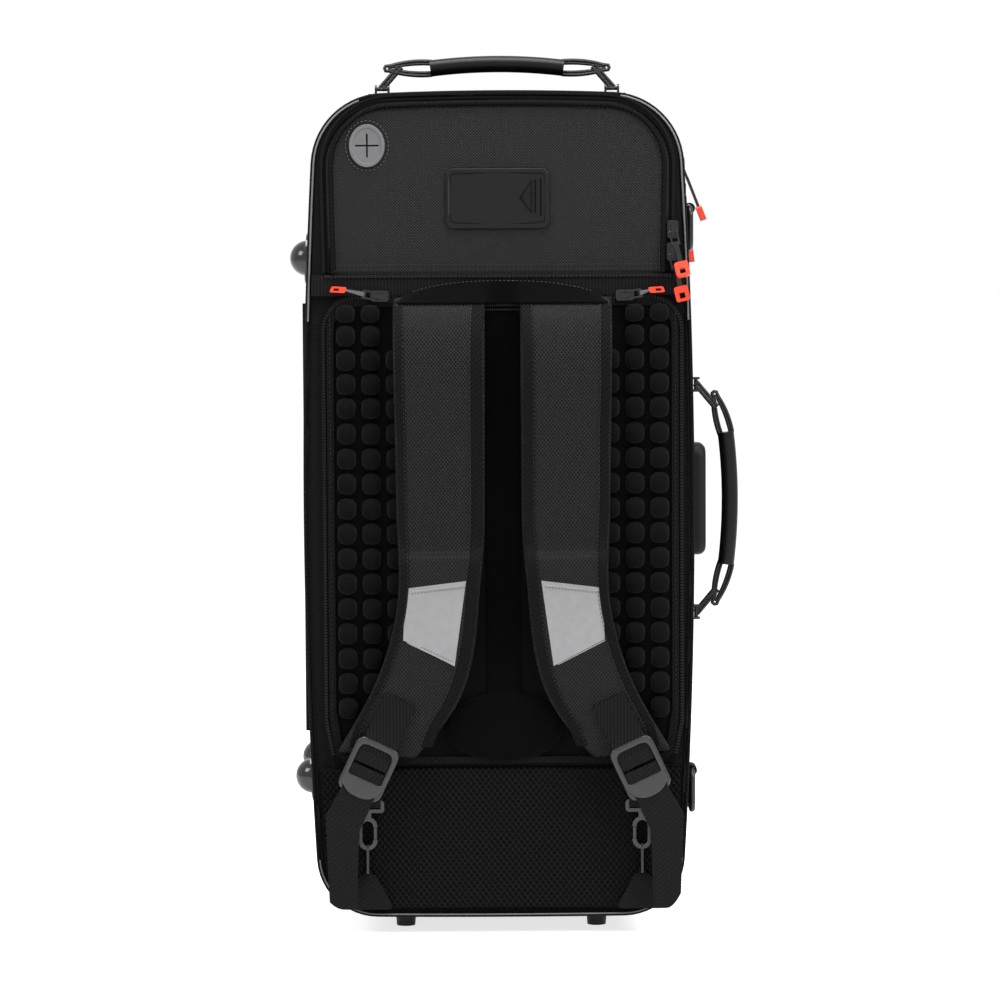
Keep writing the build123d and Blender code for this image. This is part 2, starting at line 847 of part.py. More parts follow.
# Air-mesh panel below the cover, padded, with its near edge rounded
with BuildPart() as lower_mesh_panel:
    plate(between(case_outline(face_inset + mesh_round), bottom_z, cover_bottom - seat_gap),
          face_y, mesh_thickness)
    fillet(lower_mesh_panel.faces().sort_by(Axis.Y)[0].edges(), mesh_round)
lower_mesh_panel.part.label = "lower_mesh_panel"
export_step(lower_mesh_panel.part, "parts/lower_mesh_panel.step")

# Shoulder straps: an outline cut from a slab that stands off the bumps and comes back at its foot.
# The shares are of the strap's height, from its top down, and of the lock's distance from the middle.
strap_bottom_z = lock_z + lock_length / 6
strap_height = strap_top - strap_bottom_z
outer_edge_shares = ((0, 0.80), (0.45, 0.78), (0.63, 0.765), (0.85, 0.965), (0.985, 1.225))
inner_edge_shares = ((0, 0.132), (0.45, 0.139), (0.62, 0.176), (0.85, 0.30), (1.0, 0.66))


def strap_points(shares):
    """Points of one edge of the right-hand strap, from its top down."""
    return [
        (panel_shift + lock_x * across_share, strap_top - strap_height * down_share)
        for down_share, across_share in shares
    ]


outer_edge = strap_points(outer_edge_shares)
inner_edge = strap_points(inner_edge_shares)
strap_seat_y = pad_y - seat_gap
strap_back_y = cover_y - strap_stand_off
strap_near_y = strap_back_y - strap_thickness
strap_foot_y = face_y - strap_foot_stand_off
strap_level_z = strap_top - strap_height * strap_level_share
strap_end_z = strap_bottom_z - overrun
strap_slope = (strap_foot_y - strap_near_y) / (strap_level_z - strap_end_z)
strap_side_shares = ((0.055, 1), (0.3, 1.06), (0.55, 1.06))
with BuildSketch() as strap_outline:
    with BuildLine():
        Line(outer_edge[0], outer_edge[1])
        Spline(*outer_edge[1:], tangents=[(0, -1), (0.6, -1)])
        Line(outer_edge[-1], inner_edge[-1])
        Spline(*reversed(inner_edge[1:]), tangents=[(-0.9, 1), (0, 1)])
        Line(inner_edge[1], inner_edge[0])
        Line(inner_edge[0], outer_edge[0])
    make_face()


def strap_side_line(thickness):
    """A line along the strap seen from the side, at a thickness from its back, from its top down."""
    line = [(strap_seat_y - thickness * strap_root_share, strap_top)]
    line += [
        (strap_back_y - strap_stand_off * (share - 1) - thickness, strap_top - strap_height * down_share)
        for down_share, share in strap_side_shares
    ]
    return line + [(strap_back_y - thickness, strap_level_z)]


strap_back_line = strap_side_line(0)
strap_near_line = strap_side_line(strap_thickness)
strap_feet = ((strap_foot_y + strap_thickness, strap_end_z), (strap_foot_y, strap_end_z))
strap_ends = [(-1, -1), (strap_slope, -1)]
with BuildPart() as strap_right:
    plate(strap_outline.sketch, face_y, near_depth)
    with BuildSketch(harness_plane) as strap_side:
        with BuildLine():
            Spline(*strap_back_line, tangents=strap_ends)
            Polyline(strap_back_line[-1], *strap_feet, strap_near_line[-1])
            Spline(*strap_near_line, tangents=strap_ends)
            Line(strap_near_line[0], strap_back_line[0])
        make_face()
    extrude(strap_side.sketch, amount=body_width, both=True, mode=Mode.INTERSECT)
strap_right.part.label = "strap_right"
export_step(strap_right.part, "parts/strap_right.step")

with BuildPart() as strap_left:
    mirror(strap_right.part, about=harness_plane)
strap_left.part.label = "strap_left"
export_step(strap_left.part, "parts/strap_left.step")

# Reflective patches that follow the straps' near side
with BuildPart() as reflectors:
    with BuildSketch() as patch_sketch:
        with BuildLine():
            Polyline(
                *[
                    (panel_shift + lock_x * across_share, strap_top - strap_height * down_share)
                    for down_share, across_share in reflector_shares
                ],
                close=True,
            )
        make_face()
    plate(patch_sketch.sketch, face_y, near_depth)
    with Locations((0, -reflector_gap - reflector_thickness, 0)):
        add(strap_right.part, mode=Mode.INTERSECT)
    with Locations((0, -reflector_gap, 0)):
        add(strap_right.part, mode=Mode.SUBTRACT)
    mirror(about=harness_plane)
reflectors.part.label = "reflectors"
export_step(reflectors.part, "parts/reflectors.step")

# Ladder locks lie on the feet of the straps, turned outwards along them
lock_turn = radians(lock_angle)
lock_back_y = face_y - lock_stand_off
lock_near_y = lock_back_y - lock_thickness
lock_centre_x = panel_shift + lock_x
lock_face = Plane(
    origin=(lock_centre_x, lock_back_y, lock_z),
    x_dir=(cos(lock_turn), 0, sin(lock_turn)),
    z_dir=(0, -1, 0),
)
lock_side = Plane(
    origin=(lock_centre_x, 0, lock_z), x_dir=(0, 1, 0), z_dir=(cos(lock_turn), 0, sin(lock_turn))
)
upper_slot = lock_length / 2 - lock_bar - lock_slot_length / 2
lower_slot = upper_slot - lock_slot_length - lock_bar
with BuildPart() as ladder_locks:
    with BuildSketch(lock_face):
        RectangleRounded(lock_width, lock_length, lock_corner)
        with Locations((0, upper_slot), (0, lower_slot)):
            RectangleRounded(lock_slot_width, lock_slot_length, lock_bar / 3, mode=Mode.SUBTRACT)
    extrude(amount=lock_thickness)
    chamfer(ladder_locks.faces().sort_by(Axis.Y)[0].outer_wire().edges(), lock_bar / 5)
    mirror(about=harness_plane)
ladder_locks.part.label = "ladder_locks"
export_step(ladder_locks.part, "parts/ladder_locks.step")

# Webbing tabs sewn on the straps, each hooked round the upper bar of its lock
tab_front_y = lock_near_y - seat_gap
tab_low = upper_slot + webbing_thickness
tab_bend = lock_length / 2 + webbing_thickness
tab_meet = tab_bend + webbing_width / 2
tab_high = tab_meet + webbing_width * 0.8
tab_half_rise = webbing_width / 2 * sin(lock_turn)


def tab_seat_y(along):
    """Depth at which a tab clears the sloping strap all across its width."""
    level = lock_z + along * cos(lock_turn) + tab_half_rise
    return strap_foot_y - strap_slope * (level - strap_end_z) - seat_gap


with BuildPart() as strap_tabs:
    with BuildSketch(lock_side):
        with BuildLine():
            Polyline(
                (tab_front_y - webbing_thickness, tab_low - webbing_thickness),
                (tab_front_y - webbing_thickness, tab_bend),
                (tab_seat_y(tab_meet) - webbing_thickness, tab_meet),
                (tab_seat_y(tab_high) - webbing_thickness, tab_high),
                (tab_seat_y(tab_high), tab_high),
                (tab_seat_y(tab_meet), tab_meet),
                (tab_front_y, tab_bend - webbing_thickness / 2),
                (tab_front_y, tab_low),
                (lock_back_y, tab_low),
                (lock_back_y, tab_low - webbing_thickness),
                close=True,
            )
        make_face()
    extrude(amount=webbing_width / 2, both=True)
    mirror(about=harness_plane)
strap_tabs.part.label = "strap_tabs"
export_step(strap_tabs.part, "parts/strap_tabs.step")

# Webbing: the free tails over the lower bars, and the short lengths down to the hooks
tail_drop = lock_length / 2 + webbing_thickness
tail_end = (tail_drop * sin(lock_turn), -tail_drop * cos(lock_turn))
tail_across = (webbing_width / 2 * cos(lock_turn), webbing_width / 2 * sin(lock_turn))
hook_x_right = panel_shift + hook_x
hook_back_y = face_y - hook_stand_off
hook_near_y = hook_back_y - hook_thickness
with BuildPart() as harness_webbing:
    with BuildSketch(lock_side):
        with BuildLine():
            Polyline(
                (tab_front_y - webbing_thickness, lower_slot + webbing_thickness),
                (tab_front_y - webbing_thickness, -tail_drop),
                (tab_front_y, -tail_drop),
                (tab_front_y, lower_slot),
                (lock_back_y, lower_slot),
                (lock_back_y, lower_slot + webbing_thickness),
                close=True,
            )
        make_face()
    extrude(amount=webbing_width / 2, both=True)
    with BuildSketch(facing(lock_centre_x, tab_front_y, lock_z)):
        with BuildLine():
            Polyline(
                (tail_end[0] - tail_across[0], tail_end[1] - tail_across[1]),
                (tail_end[0] + tail_across[0], tail_end[1] + tail_across[1]),
                (tail_x - lock_x + webbing_width / 2, tail_end[1] - webbing_width / 2),
                (tail_x - lock_x + webbing_width / 2, tail_end_z - lock_z),
                (tail_x - lock_x - webbing_width / 2, tail_end_z - lock_z),
                (tail_x - lock_x - webbing_width / 2, tail_end[1] - webbing_width),
                close=True,
            )
        make_face()
    extrude(amount=webbing_thickness)
    with BuildSketch(Plane.YZ.offset(hook_x_right)):
        with BuildLine():
            Polyline(
                (lock_back_y + seat_gap, lock_z - lock_length / 4),
                (lock_back_y + seat_gap + webbing_thickness, lock_z - lock_length / 4),
                (hook_near_y - seat_gap, hook_top_z),
                (hook_near_y - seat_gap, hook_top_z - hook_bar * 2),
                (hook_near_y - seat_gap - webbing_thickness, hook_top_z - hook_bar * 2),
                (hook_near_y - seat_gap - webbing_thickness, hook_top_z),
                close=True,
            )
        make_face()
    extrude(amount=hook_loop_width / 2 - hook_bar, both=True)
    mirror(about=harness_plane)
harness_webbing.part.label = "harness_webbing"
export_step(harness_webbing.part, "parts/harness_webbing.step")

# Snap hooks: a slotted head, a neck and a C-shaped hook that its sprung gate closes
hook_head_z = hook_top_z - hook_head / 2
hook_eye_z = hook_top_z - hook_length + hook_eye / 2
with BuildPart() as snap_hooks:
    with BuildSketch(Plane.XZ.offset(-hook_back_y)):
        with Locations((hook_x_right, hook_head_z)):
            RectangleRounded(hook_loop_width, hook_head, hook_bar)
            Rectangle(hook_loop_width - 2 * hook_bar, hook_head - 2 * hook_bar, mode=Mode.SUBTRACT)
        with Locations((hook_x_right, (hook_head_z + hook_eye_z) / 2 + hook_eye / 4)):
            Rectangle(hook_bar * 2, hook_head)
        with Locations((hook_x_right, hook_head_z)):
            Rectangle(hook_loop_width - 2 * hook_bar, hook_head - 2 * hook_bar, mode=Mode.SUBTRACT)
        with Locations((hook_x_right, hook_eye_z)):
            SlotOverall(hook_eye, hook_width, rotation=90)
            SlotOverall(hook_eye - 2 * hook_wire, hook_width - 2 * hook_wire, rotation=90, mode=Mode.SUBTRACT)
        with Locations((hook_x_right - hook_width / 2, hook_eye_z)):
            Rectangle(hook_width, hook_gate, mode=Mode.SUBTRACT)
        with Locations((hook_x_right - hook_width / 2 + hook_wire / 2, hook_eye_z)):
            Rectangle(hook_wire * 0.7, hook_gate - 2 * seat_gap)
    extrude(amount=hook_thickness)
    mirror(about=harness_plane)
snap_hooks.part.label = "snap_hooks"
export_step(snap_hooks.part, "parts/snap_hooks.step")

# Corner rings: wire ovals that hold the hooks to padded tabs sewn on the lower corners
ring_back_y = face_y - mesh_thickness - seat_gap
ring_front_y = ring_back_y - corner_ring_depth
ring_middle_y = (ring_back_y + ring_front_y) / 2
corner_ring_x = panel_shift + hook_x
ring_plane = Plane(
    origin=(corner_ring_x, ring_middle_y, corner_ring_z), x_dir=(0, 1, 0), z_dir=(1, 0, 0)
)
with BuildPart() as corner_rings:
    with BuildSketch(ring_plane) as ring_sketch:
        RectangleRounded(corner_ring_depth, corner_ring_height, corner_ring_depth / 3)
        RectangleRounded(
            corner_ring_depth - 2 * ring_wire,
            corner_ring_height - 2 * ring_wire,
            corner_ring_depth / 3 - ring_wire,
            mode=Mode.SUBTRACT,
        )
    extrude(ring_sketch.sketch, amount=ring_wire / 2, both=True)
    mirror(about=harness_plane)
corner_rings.part.label = "corner_rings"
export_step(corner_rings.part, "parts/corner_rings.step")

ring_low_z = corner_ring_z - corner_ring_height / 2 + ring_wire / 2
tab_top_z = corner_tab_z + corner_tab_height
with BuildPart() as corner_tabs:
    with BuildSketch(facing(corner_ring_x, ring_back_y, corner_tab_z)) as tab_sketch:
        with BuildLine():
            Polyline(
                (-corner_tab_width / 2, 0),
                (corner_tab_width / 2, 0),
                (tab_eyelet * 2, corner_tab_height),
                (-tab_eyelet * 2, corner_tab_height),
                close=True,
            )
        make_face()
        fillet(tab_sketch.vertices(), tab_eyelet)
    extrude(tab_sketch.sketch, amount=corner_tab_thickness)
    with BuildSketch(facing(corner_ring_x, ring_back_y - ring_wire - seat_gap, ring_low_z)) as eyelet:
        Circle(tab_eyelet)
        with Locations((0, (tab_top_z - ring_low_z) / 2)):
            Rectangle(tab_eyelet, ring_low_z - tab_top_z + tab_eyelet * 2)
        Circle(ring_wire * 0.7 + seat_gap, mode=Mode.SUBTRACT)
    extrude(eyelet.sketch, amount=corner_ring_depth - 2 * ring_wire - 2 * seat_gap)
    mirror(about=harness_plane)
corner_tabs.part.label = "corner_tabs"
export_step(corner_tabs.part, "parts/corner_tabs.step")


# Carrying handles: a grip, two cord loops and a stitched link down to each pinned anchor
def grip(plane, rise):
    """A rubber grip, slightly bowed along a handle."""
    with BuildPart() as bar:
        with BuildLine(plane) as axis:
            ThreePointArc(
                (-grip_length / 2, rise - grip_bow), (0, rise), (grip_length / 2, rise - grip_bow)
            )
        with BuildSketch(Plane(origin=axis.line @ 0, z_dir=axis.line % 0)):
            Circle(grip_radius)
        sweep(path=axis.line)
    return bar.part


def hull_of(near, near_radius, far, far_radius):
    """The outline round two circles."""
    with BuildSketch() as drawn:
        with Locations(near):
            Circle(near_radius)
        with Locations(far):
            Circle(far_radius)
        make_hull()
    return drawn.sketch


def across(plane, along):
    """The plane square to a handle's length at a distance along it."""
    return Plane(
        origin=plane.from_local_coords((along, 0, 0)), x_dir=-plane.z_dir, z_dir=plane.x_dir
    )


def cords(plane, rise):
    """The cord loops at both ends of a handle, each with its link down to an eye."""
    level = rise - grip_bow
    start = (grip_length / 2 + loop_neck + seat_gap / 2, level)
    inner_start = (grip_length / 2 + 2 * loop_neck, level)
    end = (grip_length / 2 + loop_reach, level - loop_drop)
    foot = (handle_half_span, pin_height + link_width * 0.8)
    with BuildPart() as pair:
        with BuildSketch(plane) as loop:
            add(hull_of(start, loop_neck, end, loop_radius))
            add(
                hull_of(inner_start, loop_neck / 4, end, loop_radius - loop_cord),
                mode=Mode.SUBTRACT,
            )
        extrude(loop.sketch, amount=loop_thickness / 2, both=True)
        with BuildSketch(plane) as link:
            add(hull_of(end, link_width / 2, foot, link_width / 2))
            with Locations((handle_half_span, pin_height)):
                Rectangle(link_width, foot[1] - pin_height, align=(Align.CENTER, Align.MIN))
        extrude(link.sketch, amount=link_thickness / 2, both=True)
        with BuildSketch(across(plane, handle_half_span)) as eye:
            with Locations((0, pin_height)):
                Circle(eye_radius)
        extrude(eye.sketch, amount=link_width / 2, both=True)
        with BuildSketch(across(plane, handle_half_span)) as bore:
            with Locations((0, pin_height)):
                Circle(eye_bore)
        extrude(bore.sketch, amount=link_width / 2, both=True, mode=Mode.SUBTRACT)
        mirror(about=across(plane, 0))
    return pair.part


def anchors(plane):
    """The two anchors of a handle: a base on the case, and two lugs with a pin between them."""
    with BuildPart() as pair:
        with BuildSketch(plane) as base:
            with Locations((handle_half_span, 0)):
                Rectangle(anchor_length, anchor_thickness * 2)
        extrude(base.sketch, amount=anchor_width / 2, both=True)
        for side in (-1, 1):
            lug_plane = across(plane, handle_half_span + side * (lug_gap + lug_thickness) / 2)
            with BuildSketch(lug_plane) as lug:
                with Locations((0, pin_height)):
                    Circle(lug_width / 2)
                Rectangle(lug_width, pin_height, align=(Align.CENTER, Align.MIN))
            extrude(lug.sketch, amount=lug_thickness / 2, both=True)
        with BuildSketch(across(plane, handle_half_span)) as pin:
            with Locations((0, pin_height)):
                Circle(pin_radius)
        extrude(pin.sketch, amount=lug_gap / 2 + lug_thickness, both=True)
        mirror(about=across(plane, 0))
    return pair.part


top_handle_z = top_centre_z + sqrt(top_radius**2 - handle_half_span**2)
side_handle_x = side_x(side_handle_z + handle_half_span)
top_handle_plane = Plane(origin=(0, -handle_depth, top_handle_z), x_dir=(1, 0, 0), z_dir=(0, -1, 0))
side_handle_plane = Plane(
    origin=(side_handle_x, -handle_depth, side_handle_z), x_dir=(0, 0, 1), z_dir=(0, 1, 0)
)
with BuildPart() as handle_anchors:
    add(anchors(top_handle_plane))
    add(anchors(side_handle_plane))
    add(whole_outer, mode=Mode.SUBTRACT)
handle_anchors.part.label = "handle_anchors"
export_step(handle_anchors.part, "parts/handle_anchors.step")

with BuildPart() as top_handle_grip:
    add(grip(top_handle_plane, top_rise))
top_handle_grip.part.label = "top_handle_grip"
export_step(top_handle_grip.part, "parts/top_handle_grip.step")

with BuildPart() as top_handle_cords:
    add(cords(top_handle_plane, top_rise))
top_handle_cords.part.label = "top_handle_cords"
export_step(top_handle_cords.part, "parts/top_handle_cords.step")

with BuildPart() as side_handle_grip:
    add(grip(side_handle_plane, side_rise))
side_handle_grip.part.label = "side_handle_grip"
export_step(side_handle_grip.part, "parts/side_handle_grip.step")

with BuildPart() as side_handle_cords:
    add(cords(side_handle_plane, side_rise))
side_handle_cords.part.label = "side_handle_cords"
export_step(side_handle_cords.part, "parts/side_handle_cords.step")

# Knuckle pad under the side handle
with BuildPart() as hand_pad:
    with BuildSketch(Plane.YZ.offset(body_width / 2 - side_bulge)) as pad_sketch:
        with Locations((-handle_depth, side_handle_z)):
            RectangleRounded(hand_pad_width, hand_pad_height, hand_pad_thickness)
    extrude(pad_sketch.sketch, amount=side_bulge + hand_pad_thickness)
    fillet(hand_pad.faces().sort_by(Axis.X)[-1].edges(), hand_pad_thickness / 2)
    add(whole_outer, mode=Mode.SUBTRACT)
hand_pad.part.label = "hand_pad"
export_step(hand_pad.part, "parts/hand_pad.step")


# Strap rings on the right side, each in a sleeve sewn on a tab
def strap_ring(level):
    """A wire ring that hangs from its top bar."""
    bar_x = side_x(level) + ring_stand_off
    reach = ring_width / 2 - ring_radius
    drop = ring_height - 2 * ring_radius
    plane = Plane(origin=(bar_x, -handle_depth, level), x_dir=(0, 1, 0), z_dir=(1, 0, 0))
    with BuildSketch(plane) as loop:
        RectangleRounded(reach * 2, drop, ring_corner, align=(Align.CENTER, Align.MAX))
    wire = loop.sketch.wire()
    with BuildPart() as ring:
        with BuildSketch(Plane(origin=wire @ 0, z_dir=wire % 0)):
            Circle(ring_radius)
        sweep(path=wire)
    return ring.part


with BuildPart() as upper_ring:
    add(strap_ring(upper_ring_z))
upper_ring.part.label = "upper_ring"
export_step(upper_ring.part, "parts/upper_ring.step")

with BuildPart() as lower_ring:
    add(strap_ring(lower_ring_z))
lower_ring.part.label = "lower_ring"
export_step(lower_ring.part, "parts/lower_ring.step")

sleeve_length = ring_width - 2 * ring_radius - 2 * ring_corner - overrun / 2
with BuildPart() as ring_tabs:
    for level in (upper_ring_z, lower_ring_z):
        bar_x = side_x(level) + ring_stand_off
        with Locations((bar_x, -handle_depth, level)):
            Cylinder(ring_sleeve, sleeve_length, rotation=(90, 0, 0))
        with Locations((side_x(level) - ring_tab_thickness, -handle_depth, level - ring_sleeve)):
            Box(
                ring_tab_thickness * 2,
                sleeve_length,
                ring_tab_height,
                align=(Align.MIN, Align.CENTER, Align.MIN),
            )
        with Locations((bar_x, -handle_depth, level)):
            Cylinder(ring_bore, sleeve_length, rotation=(90, 0, 0), mode=Mode.SUBTRACT)
    add(whole_outer, mode=Mode.SUBTRACT)
ring_tabs.part.label = "ring_tabs"
export_step(ring_tabs.part, "parts/ring_tabs.step")


# Feet: ball feet with round plates on the spine side, and studs under the bottom
def ball_foot(depth, level):
    """One ball foot on the left side."""
    rise = (level - mid_z) / side_radius
    reach = side_radius + leaf_thickness + foot_seat
    seat = Plane(
        origin=(-side_centre_x - reach * sqrt(1 - rise**2), depth, mid_z + reach * rise),
        x_dir=(0, 1, 0),
        z_dir=(-sqrt(1 - rise**2), 0, rise),
    )
    with BuildPart() as foot:
        with Locations(seat.offset(ball_offset)):
            Sphere(ball_radius)
        with Locations(seat):
            Cylinder(
                plate_radius, plate_thickness, align=(Align.CENTER, Align.CENTER, Align.MIN)
            )
            Cylinder(
                plate_radius,
                plate_radius,
                align=(Align.CENTER, Align.CENTER, Align.MAX),
                mode=Mode.SUBTRACT,
            )
    return foot.part


def studs(depth):
    """A pair of studs under the bottom at a depth."""
    with BuildPart() as pair:
        with Locations((bottom_foot_x, depth, 0), (-bottom_foot_x, depth, 0)):
            Cone(
                foot_radius - foot_taper,
                foot_radius,
                foot_height + overrun,
                align=(Align.CENTER, Align.CENTER, Align.MIN),
            )
        add(whole_outer, mode=Mode.SUBTRACT)
    return pair.part


with BuildPart() as side_feet_back:
    add(ball_foot(side_foot_y_back, side_foot_high))
    add(ball_foot(side_foot_y_back, side_foot_low))
side_feet_back.part.label = "side_feet_back"
export_step(side_feet_back.part, "parts/side_feet_back.step")

with BuildPart() as side_feet_lid:
    add(ball_foot(side_foot_y_lid, side_foot_high))
    add(ball_foot(side_foot_y_lid, side_foot_low))
side_feet_lid.part.label = "side_feet_lid"
export_step(side_feet_lid.part, "parts/side_feet_lid.step")

with BuildPart() as bottom_feet_back:
    add(studs(bottom_foot_y_back))
bottom_feet_back.part.label = "bottom_feet_back"
export_step(bottom_feet_back.part, "parts/bottom_feet_back.step")

with BuildPart() as bottom_feet_lid:
    add(studs(bottom_foot_y_lid))
bottom_feet_lid.part.label = "bottom_feet_lid"
export_step(bottom_feet_lid.part, "parts/bottom_feet_lid.step")

# Front pocket on the lid, with its zip across
front_y = far_y + front_thickness
with BuildPart() as front_pocket:
    with BuildSketch(Plane.XZ.offset(-far_y)) as front_sketch:
        with Locations((0, front_z)):
            RectangleRounded(front_width, front_height, front_corner)
    extrude(front_sketch.sketch, amount=-front_thickness)
    fillet(front_pocket.faces().sort_by(Axis.Y)[-1].edges(), front_round)
    with Locations((0, front_y, front_zip_z)):
        Box(front_zip_length, coil_proud, front_zip_width, mode=Mode.SUBTRACT)
        Box(front_zip_length, coil_proud * 2, coil_width)
front_pocket.part.label = "front_pocket"
export_step(front_pocket.part, "parts/front_pocket.step")

# Zip sliders and pulls. The y of each plane runs along the zip, and its z away from it.
barrel_height = slider_plate + (bridge_height - bridge_wall) / 2
barrel_along = bridge_length / 2 - bridge_wall - barrel_radius - 2 * seat_gap


def slider(plane):
    """A slider: a plate over the coil and an open bridge for the pull."""
    with BuildPart() as body:
        with BuildSketch(plane) as foot:
            RectangleRounded(slider_width, slider_length, slider_corner)
        extrude(foot.sketch, amount=slider_plate)
        side = Plane(origin=plane.from_local_coords((0, 0, slider_plate)), x_dir=plane.y_dir,
                     z_dir=plane.x_dir)
        with BuildSketch(side) as bridge:
            Rectangle(bridge_length, bridge_height, align=(Align.CENTER, Align.MIN))
            Rectangle(
                bridge_length - 2 * bridge_wall,
                bridge_height - bridge_wall,
                align=(Align.CENTER, Align.MIN),
                mode=Mode.SUBTRACT,
            )
        extrude(bridge.sketch, amount=bridge_width / 2, both=True)
    return body.part


def turned_plane(plane, origin, slant, lean):
    """A plane turned about its z and then about its x, at a new origin."""
    along = plane.y_dir * cos(slant) + plane.x_dir * sin(slant)
    side = plane.x_dir * cos(slant) - plane.y_dir * sin(slant)
    return Plane(origin=origin, x_dir=side, z_dir=plane.z_dir * cos(lean) - along * sin(lean))


def pull(plane, slant, lean, tape_length):
    """A pull: a barrel in the bridge, two arms, a tape and a slotted tip."""
    pivot = plane.from_local_coords((0, barrel_along, barrel_height))
    turned = turned_plane(plane, pivot, radians(slant), radians(lean))
    half_width = arm_gap / 2 + arm_width
    with BuildPart() as body:
        with BuildSketch(turned.offset(-arm_height / 2)) as frame:
            with Locations((0, arm_length / 2)):
                Rectangle(half_width * 2, arm_length)
                Rectangle(arm_gap, arm_length, mode=Mode.SUBTRACT)
            with Locations((0, arm_length)):
                Rectangle(half_width * 2, yoke_length, align=(Align.CENTER, Align.MIN))
        extrude(frame.sketch, amount=arm_height)
        barrel_plane = Plane(origin=pivot, x_dir=turned.y_dir, z_dir=turned.x_dir)
        with BuildSketch(barrel_plane) as barrel:
            Circle(barrel_radius)
        extrude(barrel.sketch, amount=half_width, both=True)
        with BuildSketch(turned.offset(-pull_tape_height / 2)) as tape:
            with Locations((0, arm_length + yoke_length / 2)):
                Rectangle(pull_tape_width, tape_length, align=(Align.CENTER, Align.MIN))
        extrude(tape.sketch, amount=pull_tape_height)
        tip_along = arm_length + yoke_length / 2 + tape_length + tip_length / 4
        with BuildSketch(turned.offset(-tip_thickness / 2)) as tip:
            with Locations((0, tip_along)):
                RectangleRounded(tip_width, tip_length, tip_corner)
            with Locations((0, tip_along + tip_length / 8)):
                Rectangle(tip_slot, tip_slot, mode=Mode.SUBTRACT)
        extrude(tip.sketch, amount=tip_thickness)
    return body.part


# Main zip: two sliders that met at the start of the upper right corner
coil_reach = coil_proud + seat_gap
corner_centre_x, corner_centre_z = crossing(
    side_radius - top_corner, top_radius - top_corner, top_centre_z
)
corner_run = side_radius - top_corner
upper_out = ((corner_centre_x - side_centre_x) / corner_run, (corner_centre_z - mid_z) / corner_run)
lower_rise = (main_slider_lower_z - mid_z) / side_radius
lower_out = (sqrt(1 - lower_rise**2), lower_rise)
main_upper_plane = Plane(
    origin=(
        corner_centre_x + upper_out[0] * (top_corner + coil_reach),
        parting_offset,
        corner_centre_z + upper_out[1] * (top_corner + coil_reach),
    ),
    x_dir=(0, -1, 0),
    z_dir=(upper_out[0], 0, upper_out[1]),
)
main_lower_plane = Plane(
    origin=(
        side_centre_x + lower_out[0] * (side_radius + coil_reach),
        parting_offset,
        mid_z + lower_out[1] * (side_radius + coil_reach),
    ),
    x_dir=(0, -1, 0),
    z_dir=(lower_out[0], 0, lower_out[1]),
)
with BuildPart() as main_slider_upper:
    add(slider(main_upper_plane))
main_slider_upper.part.label = "main_slider_upper"
export_step(main_slider_upper.part, "parts/main_slider_upper.step")

with BuildPart() as main_slider_lower:
    add(slider(main_lower_plane))
main_slider_lower.part.label = "main_slider_lower"
export_step(main_slider_lower.part, "parts/main_slider_lower.step")

with BuildPart() as main_pull_upper:
    add(pull(main_upper_plane, 0, main_lean_upper, main_tape_length))
main_pull_upper.part.label = "main_pull_upper"
export_step(main_pull_upper.part, "parts/main_pull_upper.step")

with BuildPart() as main_pull_lower:
    add(pull(main_lower_plane, 0, main_lean_lower, main_tape_length))
main_pull_lower.part.label = "main_pull_lower"
export_step(main_pull_lower.part, "parts/main_pull_lower.step")

# Pocket zip: both sliders are parked on the door's right side
zip_side_slope = (door_top_width - door_bottom_width) / 2 / (door_top_z - band_low_z)
zip_side_tilt = hypot(1, zip_side_slope)
pocket_slider_y = face_y - door_base_height - seat_gap


def pocket_slider_plane(level):
    """The plane of a slider on the right side of the door's zip, with its y down the zip."""
    line_x = door_bottom_width / 2 + zip_side_slope * (level - band_low_z)
    return Plane(
        origin=(line_x, pocket_slider_y, level),
        x_dir=(-1 / zip_side_tilt, 0, zip_side_slope / zip_side_tilt),
        z_dir=(0, -1, 0),
    )


pocket_upper_plane = pocket_slider_plane(pocket_slider_upper_z)
pocket_lower_plane = pocket_slider_plane(pocket_slider_lower_z)
with BuildPart() as pocket_slider_upper:
    add(slider(pocket_upper_plane))
pocket_slider_upper.part.label = "pocket_slider_upper"
export_step(pocket_slider_upper.part, "parts/pocket_slider_upper.step")

with BuildPart() as pocket_slider_lower:
    add(slider(pocket_lower_plane))
pocket_slider_lower.part.label = "pocket_slider_lower"
export_step(pocket_slider_lower.part, "parts/pocket_slider_lower.step")

with BuildPart() as pocket_pull_upper:
    add(pull(pocket_upper_plane, -pocket_pull_slant, pocket_lean_upper, pocket_tape_length))
pocket_pull_upper.part.label = "pocket_pull_upper"
export_step(pocket_pull_upper.part, "parts/pocket_pull_upper.step")

with BuildPart() as pocket_pull_lower:
    add(pull(pocket_lower_plane, -pocket_pull_slant, pocket_lean_lower, pocket_tape_length))
pocket_pull_lower.part.label = "pocket_pull_lower"
export_step(pocket_pull_lower.part, "parts/pocket_pull_lower.step")

# Cover zips: a slider at each side of the straps, pulled outwards to open
cover_fall = cover_slope / (cover_half_width - cover_slider_x)
cover_run = hypot(1, cover_fall)
cover_slider_out = cover_slider_share * slider_length
cover_right_plane = Plane(
    origin=(
        panel_shift + cover_slider_x + cover_slider_out,
        cover_y - binding_height - seat_gap,
        cover_top - cover_slope + cover_fall * cover_slider_out,
    ),
    x_dir=(cover_fall / cover_run, 0, -1 / cover_run),
    z_dir=(0, -1, 0),
)
with BuildPart() as cover_slider_right:
    add(slider(cover_right_plane))
cover_slider_right.part.label = "cover_slider_right"
export_step(cover_slider_right.part, "parts/cover_slider_right.step")

